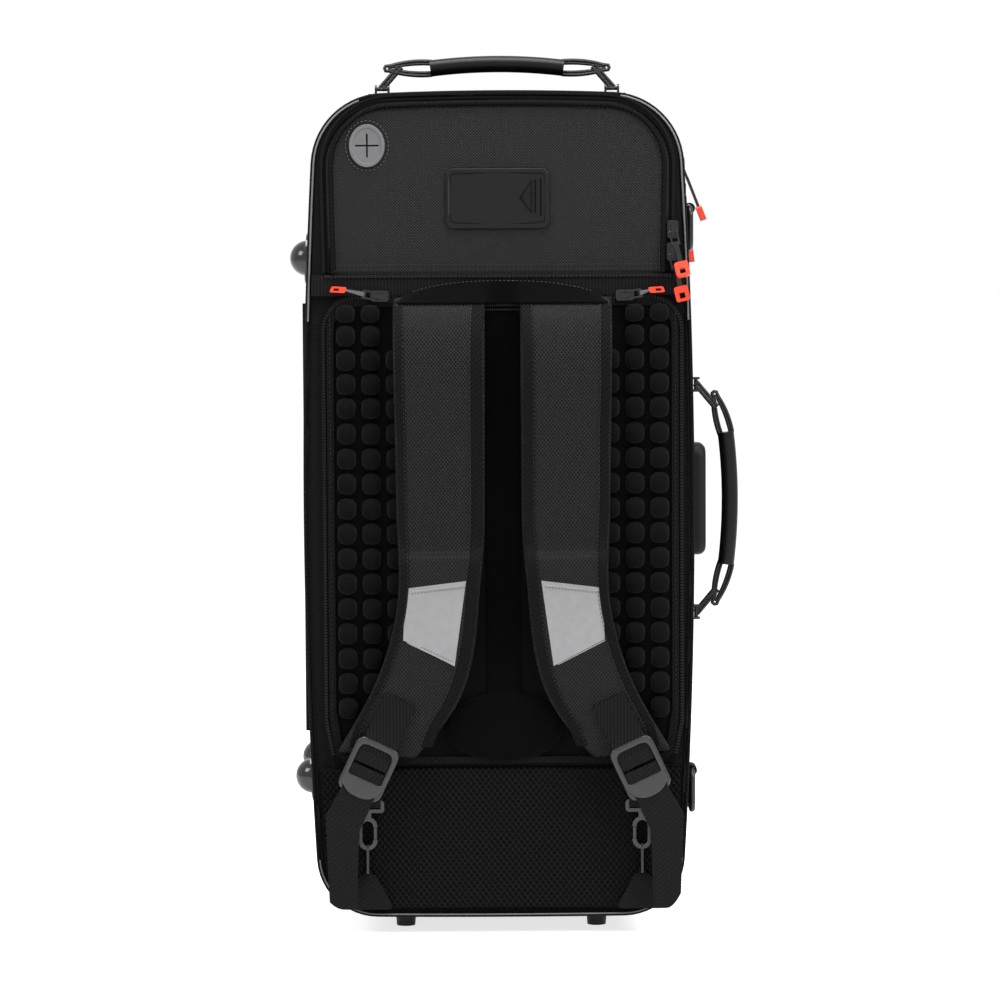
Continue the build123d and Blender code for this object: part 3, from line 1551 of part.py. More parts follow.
with BuildPart() as cover_pull_right:
    add(pull(cover_right_plane, -cover_pull_slant, cover_pull_lean, cover_tape_right))
cover_pull_right.part.label = "cover_pull_right"
export_step(cover_pull_right.part, "parts/cover_pull_right.step")

with BuildPart() as cover_slider_left:
    mirror(cover_slider_right.part, about=harness_plane)
cover_slider_left.part.label = "cover_slider_left"
export_step(cover_slider_left.part, "parts/cover_slider_left.step")

with BuildPart() as cover_pull_left:
    mirror(
        pull(cover_right_plane, -cover_pull_slant, cover_pull_lean, cover_tape_left),
        about=harness_plane,
    )
cover_pull_left.part.label = "cover_pull_left"
export_step(cover_pull_left.part, "parts/cover_pull_left.step")

# The lid pocket's slider, with its pull along the zip
front_slider_plane = Plane(
    origin=(front_slider_x, front_y + coil_reach, front_zip_z), x_dir=(0, 0, -1), z_dir=(0, 1, 0)
)
with BuildPart() as front_slider:
    add(slider(front_slider_plane))
front_slider.part.label = "front_slider"
export_step(front_slider.part, "parts/front_slider.step")

with BuildPart() as front_pull:
    add(pull(front_slider_plane, 0, 0, pocket_tape_length))
front_pull.part.label = "front_pull"
export_step(front_pull.part, "parts/front_pull.step")
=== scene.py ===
"""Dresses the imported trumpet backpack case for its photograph.

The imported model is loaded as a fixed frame. Each sub-assembly of the case is a class that builds its
fabric, leather and moulded pieces in millimetres and sets them on the bodies of the frame.
"""

import json
import logging
import math
from dataclasses import dataclass
from enum import Enum
from typing import Callable, Optional, Sequence

import bmesh
import bpy
from mathutils import Matrix, Vector
from mathutils.bvhtree import BVHTree


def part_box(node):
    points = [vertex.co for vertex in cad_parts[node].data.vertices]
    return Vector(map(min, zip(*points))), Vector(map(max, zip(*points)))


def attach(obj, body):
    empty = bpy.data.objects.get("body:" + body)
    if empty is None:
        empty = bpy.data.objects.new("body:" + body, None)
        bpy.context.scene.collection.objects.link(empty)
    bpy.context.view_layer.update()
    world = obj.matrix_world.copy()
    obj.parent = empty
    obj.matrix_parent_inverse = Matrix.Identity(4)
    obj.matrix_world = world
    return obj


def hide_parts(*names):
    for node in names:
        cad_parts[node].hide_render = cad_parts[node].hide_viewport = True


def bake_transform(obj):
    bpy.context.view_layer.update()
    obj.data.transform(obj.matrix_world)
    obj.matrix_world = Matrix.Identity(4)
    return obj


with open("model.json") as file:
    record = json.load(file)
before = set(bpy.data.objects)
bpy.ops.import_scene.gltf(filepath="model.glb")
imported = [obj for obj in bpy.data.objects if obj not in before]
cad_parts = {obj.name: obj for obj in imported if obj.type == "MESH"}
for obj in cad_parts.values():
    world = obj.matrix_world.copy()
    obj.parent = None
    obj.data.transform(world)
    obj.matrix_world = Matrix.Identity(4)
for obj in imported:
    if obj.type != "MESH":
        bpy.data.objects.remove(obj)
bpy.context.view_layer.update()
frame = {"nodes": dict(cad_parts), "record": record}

MM = 0.001
CREASE = 38.0
NEAR = Vector((0, -1, 0))
FAR = Vector((0, 1, 0))
RIGHT = Vector((1, 0, 0))
LOG = logging.getLogger("trumpet_case")

Socket = bpy.types.NodeSocket
Pair = tuple[float, float]
Triple = tuple[float, float, float]
Move = Callable[[Vector], Vector]
Rule = Callable[[Vector], bool]


class Pattern(Enum):
    """The surface structure of a finish."""

    WEAVE = "plain weave"
    RIBS = "ribs"
    TWILL = "twill"
    CELLS = "spacer mesh"
    GRAIN = "leather grain"
    PILE = "plush pile"
    FINE = "fine moulded grain"


@dataclass(frozen=True)
class Finish:
    """One finish of the case. Lengths are in millimetres."""

    name: str
    slot: str
    color: Triple
    pattern: Pattern
    pitch: float = 1.0
    turn: float = 0.0
    relief: float = 0.1
    gap_shade: float = 0.4
    roughness: float = 0.7
    specular: float = 0.3
    metallic: float = 0.0
    sheen: float = 0.0
    coat: float = 0.0
    mottle: float = 0.25


DOOR_NYLON = Finish("door_nylon", "ballistic_nylon", (0.022, 0.022, 0.0225), Pattern.WEAVE,
                    pitch=1.5, turn=45, relief=0.4, gap_shade=0.0, roughness=0.5, specular=0.13)
SIDE_NYLON = Finish("side_nylon", "ballistic_nylon", (0.0062, 0.0062, 0.0064), Pattern.RIBS,
                    pitch=1.8, relief=0.3, gap_shade=0.0, roughness=0.6, specular=0.05)
STRAP_NYLON = Finish("strap_nylon", "air_mesh", (0.021, 0.021, 0.0215), Pattern.CELLS,
                     pitch=2.5, relief=0.6, gap_shade=0.0, roughness=0.5, specular=0.12)
TWILL_TAPE = Finish("twill_tape", "ribbed_webbing", (0.0074, 0.0074, 0.0076), Pattern.TWILL,
                    pitch=2.4, relief=0.3, gap_shade=0.0, roughness=0.62, specular=0.05)
RIB_TAPE = Finish("rib_tape", "ribbed_webbing", (0.0085, 0.0085, 0.0087), Pattern.RIBS,
                  pitch=2.4, turn=90, relief=0.4, gap_shade=0.0, roughness=0.6, specular=0.07)
WEBBING = Finish("webbing", "ribbed_webbing", (0.0088, 0.0088, 0.009), Pattern.TWILL,
                 pitch=2.2, relief=0.3, gap_shade=0.0, roughness=0.55, specular=0.08)
ZIP_TAPE = Finish("zip_tape", "coil_zip", (0.0045, 0.0045, 0.0047), Pattern.TWILL,
                  pitch=0.9, specular=0.06)
ZIP_COIL = Finish("zip_coil", "coil_zip", (0.009, 0.009, 0.0093), Pattern.FINE,
                  pitch=0.6, relief=0.02, gap_shade=0.8, roughness=0.4, specular=0.14)
COVER_KNIT = Finish("cover_knit", "ballistic_nylon", (0.0036, 0.0036, 0.0038), Pattern.FINE,
                    pitch=0.7, relief=0.08, gap_shade=0.6, roughness=0.85, specular=0.04)
PLUSH = Finish("plush", "plush", (0.0058, 0.0058, 0.006), Pattern.PILE,
               relief=0.5, gap_shade=0.2, roughness=0.9, specular=0.04, sheen=0.03)
LUMBAR_PLUSH = Finish("lumbar_plush", "plush", (0.0032, 0.0032, 0.0034), Pattern.PILE,
                      pitch=1.1, relief=0.5, gap_shade=0.15, roughness=0.9, specular=0.03, sheen=0.02, mottle=0.9)
LINING_PLUSH = Finish("lining_plush", "plush", (0.05, 0.05, 0.055), Pattern.PILE,
                      pitch=0.7, relief=0.3, gap_shade=0.5, roughness=0.92, specular=0.15, sheen=0.2)
BED_FLOCK = Finish("bed_flock", "foam", (0.075, 0.075, 0.083), Pattern.PILE,
                   pitch=0.7, relief=0.3, gap_shade=0.5, roughness=0.92, specular=0.15, sheen=0.25)
SPACER_MESH = Finish("spacer_mesh", "air_mesh", (0.0095, 0.0095, 0.0097), Pattern.CELLS,
                     pitch=4.3, relief=1.1, gap_shade=0.0, roughness=0.6, specular=0.05)
GRIP_LEATHER = Finish("grip_leather", "rubber", (0.005, 0.005, 0.0052), Pattern.GRAIN,
                      pitch=1.3, relief=0.06, gap_shade=0.8, roughness=0.34, specular=0.16)
TAG_LEATHER = Finish("tag_leather", "leather", (0.009, 0.009, 0.0092), Pattern.GRAIN,
                     pitch=1.1, relief=0.06, gap_shade=0.85, roughness=0.42, specular=0.13)
CORD = Finish("cord", "leather", (0.01, 0.01, 0.0103), Pattern.TWILL,
              pitch=1.1, relief=0.12, roughness=0.45)
ACETAL = Finish("acetal", "acetal", (0.013, 0.013, 0.0133), Pattern.FINE,
                relief=0.03, gap_shade=0.9, roughness=0.2, specular=0.45)
BLACK_METAL = Finish("black_metal", "black_metal", (0.035, 0.035, 0.036), Pattern.FINE,
                     pitch=1.2, relief=0.02, gap_shade=0.9, roughness=0.3, specular=0.5, metallic=0.85)
GLOSS_BLACK = Finish("gloss_black", "gloss_black", (0.004, 0.004, 0.0043), Pattern.FINE,
                     pitch=2.0, relief=0.01, gap_shade=0.95, roughness=0.14, specular=0.4, coat=0.25)
FOOT_RUBBER = Finish("foot_rubber", "rubber", (0.01, 0.01, 0.0103), Pattern.FINE,
                     pitch=0.8, relief=0.05, gap_shade=0.85, roughness=0.5, specular=0.25)
FRAME_PLASTIC = Finish("frame_plastic", "moulded_frame", (0.012, 0.012, 0.0125), Pattern.FINE,
                       pitch=1.2, relief=0.05, gap_shade=0.85, roughness=0.5)
REFLECTIVE = Finish("reflective", "reflective", (0.28, 0.28, 0.285), Pattern.WEAVE,
                    pitch=0.9, turn=45, relief=0.05, gap_shade=0.8, roughness=0.42, specular=0.4, metallic=0.35)
PORT_RUBBER = Finish("port_rubber", "rubber", (0.13, 0.13, 0.134), Pattern.FINE,
                     relief=0.03, gap_shade=0.9, roughness=0.38, specular=0.45)
GREY_THREAD = Finish("grey_thread", "ribbed_webbing", (0.12, 0.12, 0.122), Pattern.FINE,
                     pitch=0.5, relief=0.03, gap_shade=0.8, roughness=0.5)
DARK_THREAD = Finish("dark_thread", "ribbed_webbing", (0.024, 0.024, 0.0245), Pattern.FINE,
                     pitch=0.5, relief=0.03, gap_shade=0.8, roughness=0.6, specular=0.15)
# Painted highlight: a pale copy of the piping, laid over the runs that catch the light.
PIPING_HIGHLIGHT = Finish("painted_piping_highlight", "reflective", (0.13, 0.13, 0.132), Pattern.FINE,
                     pitch=0.8, relief=0.03, gap_shade=0.85, roughness=0.4, specular=0.4)
STEEL_WIRE = Finish("steel_wire", "black_metal", (0.16, 0.16, 0.165), Pattern.FINE,
                    relief=0.01, gap_shade=0.95, roughness=0.25, specular=0.5, metallic=1.0)
LIGHT_PIPING = Finish("light_piping", "reflective", (0.27, 0.27, 0.275), Pattern.FINE,
                      pitch=0.8, relief=0.03, gap_shade=0.85, roughness=0.4, specular=0.5)
SIGNAL_TIP = Finish("signal_tip", "pull_tip", (0.78, 0.055, 0.022), Pattern.FINE,
                    relief=0.04, gap_shade=0.9, roughness=0.42, specular=0.4, mottle=0.1)


class Wiring:
    """Adds nodes to one node tree and links them."""

    def __init__(self, tree: bpy.types.NodeTree) -> None:
        """Start on a tree.

        Args:
            tree: The node tree to fill.
        """
        self.tree = tree
        self.count = 0

    def add(self, kind: str, inputs: Optional[dict] = None, **settings: object) -> bpy.types.Node:
        """Add a node, set its properties and fill its inputs.

        Args:
            kind: The node's type name.
            inputs: Values or sockets by the input's name or index.
            **settings: Properties of the node.

        Returns:
            The new node.
        """
        node = self.tree.nodes.new(kind)
        node.location = (180 * (self.count % 12), -220 * (self.count // 12))
        self.count += 1
        for key, value in settings.items():
            setattr(node, key, value)
        for key, value in (inputs or {}).items():
            if isinstance(value, Socket):
                self.tree.links.new(value, node.inputs[key])
            else:
                node.inputs[key].default_value = value
        return node

    def math(self, operation: str, first: object, second: object = 0.0) -> Socket:
        """A math node's result.

        Args:
            operation: The operation's name.
            first: A value or socket.
            second: A value or socket.

        Returns:
            The output socket.
        """
        return self.add("ShaderNodeMath", {0: first, 1: second}, operation=operation).outputs[0]

    def wave(self, value: Socket) -> Socket:
        """The absolute sine of pi times a value, a row of round threads."""
        return self.math("ABSOLUTE", self.math("SINE", self.math("MULTIPLY", value, math.pi)))


PLANE_INPUTS = [("Across", "NodeSocketFloat", 0.0), ("Up", "NodeSocketFloat", 0.0)]


class Groups:
    """Shader node groups shared by the finishes. Each is built once."""

    def __init__(self) -> None:
        """Start with no groups."""
        self.made: dict[str, bpy.types.NodeTree] = {}

    def get(self, name: str, inputs: Sequence[tuple[str, str, float]], outputs: Sequence[str],
            fill: Callable[[Wiring, bpy.types.Node, bpy.types.Node], None]) -> bpy.types.NodeTree:
        """A group by name, built the first time.

        Args:
            name: The group's name.
            inputs: Name, socket type and default of each input.
            outputs: Names of the float outputs.
            fill: Draws the inside between the group's input and output nodes.

        Returns:
            The node group.
        """
        if name not in self.made:
            tree = bpy.data.node_groups.new(name, "ShaderNodeTree")
            for label, kind, default in inputs:
                socket = tree.interface.new_socket(label, in_out="INPUT", socket_type=kind)
                if kind == "NodeSocketFloat":
                    socket.default_value = default
            for label in outputs:
                tree.interface.new_socket(label, in_out="OUTPUT", socket_type="NodeSocketFloat")
            wiring = Wiring(tree)
            fill(wiring, wiring.add("NodeGroupInput"), wiring.add("NodeGroupOutput"))
            self.made[name] = tree
        return self.made[name]

    def facing(self) -> bpy.types.NodeTree:
        """Two coordinates in millimetres along the surface, whichever way it faces."""

        def fill(w: Wiring, ins: bpy.types.Node, outs: bpy.types.Node) -> None:
            """Pick x or y across and z or y upwards by the normal, then turn them."""
            place = w.add("ShaderNodeTexCoord")
            at = w.add("ShaderNodeSeparateXYZ", {0: place.outputs["Object"]}).outputs
            out = w.add("ShaderNodeSeparateXYZ", {0: place.outputs["Normal"]}).outputs
            side = w.math("GREATER_THAN", w.math("ABSOLUTE", out[0]), 0.72)
            level = w.math("GREATER_THAN", w.math("ABSOLUTE", out[2]), 0.72)
            across = w.add("ShaderNodeMix", {0: side, 2: at[0], 3: at[1]}).outputs[0]
            upward = w.add("ShaderNodeMix", {0: level, 2: at[2], 3: at[1]}).outputs[0]
            flat = w.add("ShaderNodeCombineXYZ", {0: across, 1: upward}).outputs[0]
            turned = w.add("ShaderNodeVectorRotate", {"Vector": flat, "Angle": ins.outputs["Turn"]},
                           rotation_type="Z_AXIS").outputs[0]
            pair = w.add("ShaderNodeSeparateXYZ", {0: turned}).outputs
            for index in (0, 1):
                scaled = w.math("DIVIDE", w.math("MULTIPLY", pair[index], 1 / MM), ins.outputs["Pitch"])
                w.tree.links.new(scaled, outs.inputs[index])

        return self.get("facing coordinates", [("Turn", "NodeSocketFloat", 0.0), ("Pitch", "NodeSocketFloat", 1.0)],
                        ["Across", "Up"], fill)

    def weave(self) -> bpy.types.NodeTree:
        """Plain weave: threads that pass over and under in turn."""

        def fill(w: Wiring, ins: bpy.types.Node, outs: bpy.types.Node) -> None:
            """Raise warp threads on one colour of a checkerboard and weft threads on the other."""
            across, up = ins.outputs["Across"], ins.outputs["Up"]
            parity = w.math("MODULO", w.math("ABSOLUTE", w.math(
                "ADD", w.math("FLOOR", across), w.math("FLOOR", up))), 2.0)
            warp, weft = w.wave(across), w.wave(up)
            over = w.math("MULTIPLY", warp, w.math("POWER", weft, 0.4))
            under = w.math("MULTIPLY", weft, w.math("POWER", warp, 0.4))
            mixed = w.add("ShaderNodeMix", {0: parity, 2: over, 3: under}).outputs[0]
            w.tree.links.new(w.math("POWER", mixed, 1.8), outs.inputs[0])

        return self.get("plain weave", PLANE_INPUTS, ["Height"], fill)

    def ribs(self) -> bpy.types.NodeTree:
        """Ribs that run across, with a faint thread in each."""

        def fill(w: Wiring, ins: bpy.types.Node, outs: bpy.types.Node) -> None:
            """Round ribs up the surface, notched along their length."""
            rib = w.wave(ins.outputs["Up"])
            thread = w.wave(w.math("MULTIPLY", ins.outputs["Across"], 1.6))
            notch = w.math("ADD", w.math("MULTIPLY", thread, 0.35), 0.65)
            w.tree.links.new(w.math("MULTIPLY", w.math("POWER", rib, 0.7), notch), outs.inputs[0])

        return self.get("ribs", PLANE_INPUTS, ["Height"], fill)

    def twill(self) -> bpy.types.NodeTree:
        """Diagonal lines of short slanted threads."""

        def fill(w: Wiring, ins: bpy.types.Node, outs: bpy.types.Node) -> None:
            """Slant the rows and break each into stitches."""
            across, up = ins.outputs["Across"], ins.outputs["Up"]
            row = w.wave(w.math("ADD", across, w.math("MULTIPLY", up, 0.8)))
            stitch = w.wave(w.math("SUBTRACT", w.math("MULTIPLY", across, 0.5), w.math("MULTIPLY", up, 0.6)))
            height = w.math("MULTIPLY", row, w.math("POWER", stitch, 0.35))
            w.tree.links.new(height, outs.inputs[0])

        return self.get("twill", PLANE_INPUTS, ["Height"], fill)

    def cells(self) -> bpy.types.NodeTree:
        """Six-sided holes between raised threads."""

        def fill(w: Wiring, ins: bpy.types.Node, outs: bpy.types.Node) -> None:
            """Take the distance to the nearer of two offset grids of hole centres."""
            across, up = ins.outputs["Across"], w.math("DIVIDE", ins.outputs["Up"], 1.25)
            distances = []
            for shift in (0.0, 0.5):
                x = w.math("SUBTRACT", w.math("FRACT", w.math("ADD", across, shift)), 0.5)
                y = w.math("SUBTRACT", w.math("FRACT", w.math("ADD", up, shift)), 0.5)
                square = w.math("ADD", w.math("MULTIPLY", x, x), w.math("MULTIPLY", w.math("MULTIPLY", y, y), 1.5))
                distances.append(w.math("SQRT", square))
            near = w.math("MINIMUM", *distances)
            rim = w.add("ShaderNodeMapRange", {0: near, 1: 0.23, 2: 0.43, 3: 0.0, 4: 1.0},
                        interpolation_type="SMOOTHSTEP").outputs[0]
            knit = w.wave(w.math("MULTIPLY", w.math("ADD", across, up), 4.0))
            threads = w.math("ADD", w.math("MULTIPLY", knit, 0.3), 0.7)
            w.tree.links.new(w.math("MULTIPLY", rim, threads), outs.inputs[0])

        return self.get("spacer mesh cells", PLANE_INPUTS, ["Height"], fill)

    def grain(self, name: str, cell_share: float, noise_share: float) -> bpy.types.NodeTree:
        """A grain of cells and noise on the solid's own coordinates.

        Args:
            name: The group's name.
            cell_share: How much of the height comes from cells.
            noise_share: How much comes from noise.

        Returns:
            The node group.
        """

        def fill(w: Wiring, ins: bpy.types.Node, outs: bpy.types.Node) -> None:
            """Mix the distance to cell walls with noise."""
            place = w.add("ShaderNodeTexCoord").outputs["Object"]
            scale = w.math("DIVIDE", 1 / MM, ins.outputs["Pitch"])
            cell = w.add("ShaderNodeTexVoronoi", {"Vector": place, "Scale": scale},
                         feature="DISTANCE_TO_EDGE").outputs[0]
            noise = w.add("ShaderNodeTexNoise", {"Vector": place, "Scale": scale, "Detail": 3.0}).outputs[0]
            walls = w.math("MULTIPLY", w.math("MINIMUM", w.math("MULTIPLY", cell, 4.0), 1.0), cell_share)
            w.tree.links.new(w.math("ADD", walls, w.math("MULTIPLY", noise, noise_share)), outs.inputs[0])

        return self.get(name, [("Pitch", "NodeSocketFloat", 1.0)], ["Height"], fill)

    def mottle(self) -> bpy.types.NodeTree:
        """Slow changes of shade from handling, dust and dye."""

        def fill(w: Wiring, ins: bpy.types.Node, outs: bpy.types.Node) -> None:
            """Two scales of noise round a middle of one."""
            place = w.add("ShaderNodeTexCoord").outputs["Object"]
            broad = w.add("ShaderNodeTexNoise", {"Vector": place, "Scale": 14.0, "Detail": 4.0}).outputs[0]
            small = w.add("ShaderNodeTexNoise", {"Vector": place, "Scale": 160.0, "Detail": 2.0}).outputs[0]
            both = w.math("ADD", w.math("SUBTRACT", broad, 0.5), w.math("SUBTRACT", small, 0.5))
            w.tree.links.new(w.math("ADD", w.math("MULTIPLY", both, ins.outputs["Amount"]), 1.0), outs.inputs[0])

        return self.get("mottle", [("Amount", "NodeSocketFloat", 0.2)], ["Shade"], fill)


class Palette:
    """Makes each finish's material once."""

    def __init__(self) -> None:
        """Start with no materials."""
        self.groups = Groups()
        self.made: dict[str, bpy.types.Material] = {}

    def height(self, w: Wiring, finish: Finish) -> Socket:
        """The height of a finish's structure.

        Args:
            w: The material's wiring.
            finish: The finish.

        Returns:
            The height's socket.
        """
        solid = {
            Pattern.GRAIN: ("leather grain", 0.7, 0.3),
            Pattern.PILE: ("plush pile", 0.25, 0.75),
            Pattern.FINE: ("fine grain", 0.1, 0.9),
        }
        if finish.pattern in solid:
            tree = self.groups.grain(*solid[finish.pattern])
            node = w.add("ShaderNodeGroup", node_tree=tree)
            node.inputs["Pitch"].default_value = finish.pitch
            return node.outputs[0]
        flat = w.add("ShaderNodeGroup", node_tree=self.groups.facing())
        flat.inputs["Turn"].default_value = math.radians(finish.turn)
        flat.inputs["Pitch"].default_value = finish.pitch
        flat_groups = {
            Pattern.WEAVE: self.groups.weave,
            Pattern.RIBS: self.groups.ribs,
            Pattern.TWILL: self.groups.twill,
            Pattern.CELLS: self.groups.cells,
        }
        node = w.add("ShaderNodeGroup", node_tree=flat_groups[finish.pattern]())
        for index in (0, 1):
            w.tree.links.new(flat.outputs[index], node.inputs[index])
        return node.outputs[0]

    def get(self, finish: Finish) -> bpy.types.Material:
        """The material of a finish.

        Args:
            finish: The finish.

        Returns:
            Its material.
        """
        if finish.name in self.made:
            return self.made[finish.name]
        material = bpy.data.materials.new(finish.name)
        material.use_nodes = True
        w = Wiring(material.node_tree)
        shader = material.node_tree.nodes["Principled BSDF"]
        height = self.height(w, finish)
        shade = w.add("ShaderNodeGroup", node_tree=self.groups.mottle())
        shade.inputs["Amount"].default_value = finish.mottle
        lit = w.add("ShaderNodeMapRange", {0: height, 1: 0.0, 2: 1.0, 3: finish.gap_shade, 4: 1.0}).outputs[0]
        strength = w.math("MULTIPLY", lit, shade.outputs[0])
        tint = w.add("ShaderNodeVectorMath", {0: finish.color, "Scale": strength}, operation="SCALE")
        w.tree.links.new(tint.outputs[0], shader.inputs["Base Color"])
        dull = w.math("ADD", w.math("MULTIPLY", w.math("SUBTRACT", shade.outputs[0], 1.0), 0.6), finish.roughness)
        w.tree.links.new(w.math("MINIMUM", dull, 1.0), shader.inputs["Roughness"])
        bump = w.add("ShaderNodeBump", {"Height": height, "Distance": finish.relief * MM, "Strength": 1.0})
        w.tree.links.new(bump.outputs[0], shader.inputs["Normal"])
        for label, value in (("Metallic", finish.metallic), ("Specular IOR Level", finish.specular),
                             ("Sheen Weight", finish.sheen), ("Coat Weight", finish.coat)):
            shader.inputs[label].default_value = value
        material.diffuse_color = (*finish.color, 1.0)
        self.made[finish.name] = material
        return material


PALETTE = Palette()


def in_scene(name: str, data: bpy.types.ID) -> bpy.types.Object:
    """Make an object of a mesh, a lamp or a camera and put it in the scene."""
    made = bpy.data.objects.new(name, data)
    bpy.context.scene.collection.objects.link(made)
    return made


class Solid:
    """One piece under construction, a bmesh in millimetres with a few shaping tools."""

    def __init__(self) -> None:
        """Start with an empty mesh."""
        self.bm = bmesh.new()

    @staticmethod
    def read(mesh: bpy.types.Mesh) -> "Solid":
        """A copy of a mesh, turned into millimetres."""
        solid = Solid()
        solid.bm.from_mesh(mesh)
        bmesh.ops.scale(solid.bm, vec=(1 / MM, 1 / MM, 1 / MM), verts=list(solid.bm.verts))
        return solid

    def bend(self, move: Move) -> "Solid":
        """Move every vertex by a rule."""
        for vert in self.bm.verts:
            vert.co = move(vert.co)
        return self

    def thicken(self, depth: float, way: Vector = NEAR) -> "Solid":
        """Give the faces a depth, closed all round.

        Args:
            depth: The thickness, or less than nothing for the other way.
            way: The way in which they grow.

        Returns:
            This solid.
        """
        made = bmesh.ops.extrude_face_region(self.bm, geom=list(self.bm.faces), use_keep_orig=True)
        verts = [g for g in made["geom"] if isinstance(g, bmesh.types.BMVert)]
        bmesh.ops.translate(self.bm, verts=verts, vec=way * depth)
        return self.outward()

    def triangled(self) -> "Solid":
        """Cut every face with more than four corners into triangles."""
        bmesh.ops.triangulate(self.bm, faces=[f for f in self.bm.faces if len(f.verts) > 4])
        return self

    def outward(self) -> "Solid":
        """Turn every face outwards."""
        bmesh.ops.recalc_face_normals(self.bm, faces=list(self.bm.faces))
        return self

    def soften(self, amount: float, segments: int = 3, angle: float = 35) -> "Solid":
        """Round the sharp edges.

        Args:
            amount: The rounding's size.
            segments: Its steps.
            angle: The least turn of a sharp edge, in degrees.

        Returns:
            This solid.
        """
        self.bm.normal_update()
        edges = [e for e in self.bm.edges if len(e.link_faces) == 2 and e.calc_face_angle(0) > math.radians(angle)]
        bmesh.ops.bevel(self.bm, geom=edges, offset=amount, offset_type="OFFSET", segments=segments, profile=0.5,
                        affect="EDGES", clamp_overlap=True, material=-1)
        return self

    def mirrored(self, middle: float) -> "Solid":
        """Add a mirror image about an upright plane across the case.

        Args:
            middle: The plane's x.

        Returns:
            This solid.
        """
        made = bmesh.ops.duplicate(self.bm, geom=list(self.bm.verts) + list(self.bm.edges) + list(self.bm.faces))
        verts = [g for g in made["geom"] if isinstance(g, bmesh.types.BMVert)]
        faces = [g for g in made["geom"] if isinstance(g, bmesh.types.BMFace)]
        flip = Matrix.Translation((middle, 0, 0)) @ Matrix.Diagonal((-1, 1, 1, 1)) @ Matrix.Translation((-middle, 0, 0))
        bmesh.ops.transform(self.bm, matrix=flip, verts=verts)
        bmesh.ops.reverse_faces(self.bm, faces=faces)
        return self

    def piece(self, name: str, body: str, finish: Finish, replaces: Sequence[str] = (), smooth: bool = True,
              pad: Optional[float] = None) -> bpy.types.Object:
        """Make the finished piece and set it on its body.

        Args:
            name: The piece's name.
            body: The body that carries it, or nothing for a piece that is set on no body.
            finish: Its finish.
            replaces: The nodes that it stands for.
            smooth: Whether it is shaded smoothly over gentle turns.
            pad: Not used.

        Returns:
            The piece.
        """
        bmesh.ops.scale(self.bm, vec=(MM, MM, MM), verts=list(self.bm.verts))
        mesh = bpy.data.meshes.new(name)
        self.bm.to_mesh(mesh)
        self.bm.free()
        return set_piece(mesh, name, body, finish, replaces, smooth)


def set_piece(mesh: bpy.types.Mesh, name: str, body: str, finish: Finish, replaces: Sequence[str] = (),
              smooth: bool = True) -> bpy.types.Object:
    """Put a mesh in the scene as a piece of the case.

    Args:
        mesh: The mesh, in metres.
        name: The piece's name.
        body: The body that carries it, or nothing for a piece that is set on no body.
        finish: Its finish.
        replaces: The nodes that it stands for.
        smooth: Whether it is shaded smoothly over gentle turns.

    Returns:
        The piece.
    """
    piece = in_scene(name, mesh)
    mesh.materials.append(PALETTE.get(finish))
    if smooth:
        mesh.shade_smooth()
        mesh.set_sharp_from_angle(angle=math.radians(CREASE))
        evener = piece.modifiers.new("evener", "WEIGHTED_NORMAL")
        evener.keep_sharp = True
    if body:
        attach(piece, body)
    if replaces:
        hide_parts(*replaces)
    LOG.info("%s: %d faces", name, len(mesh.polygons))
    return piece


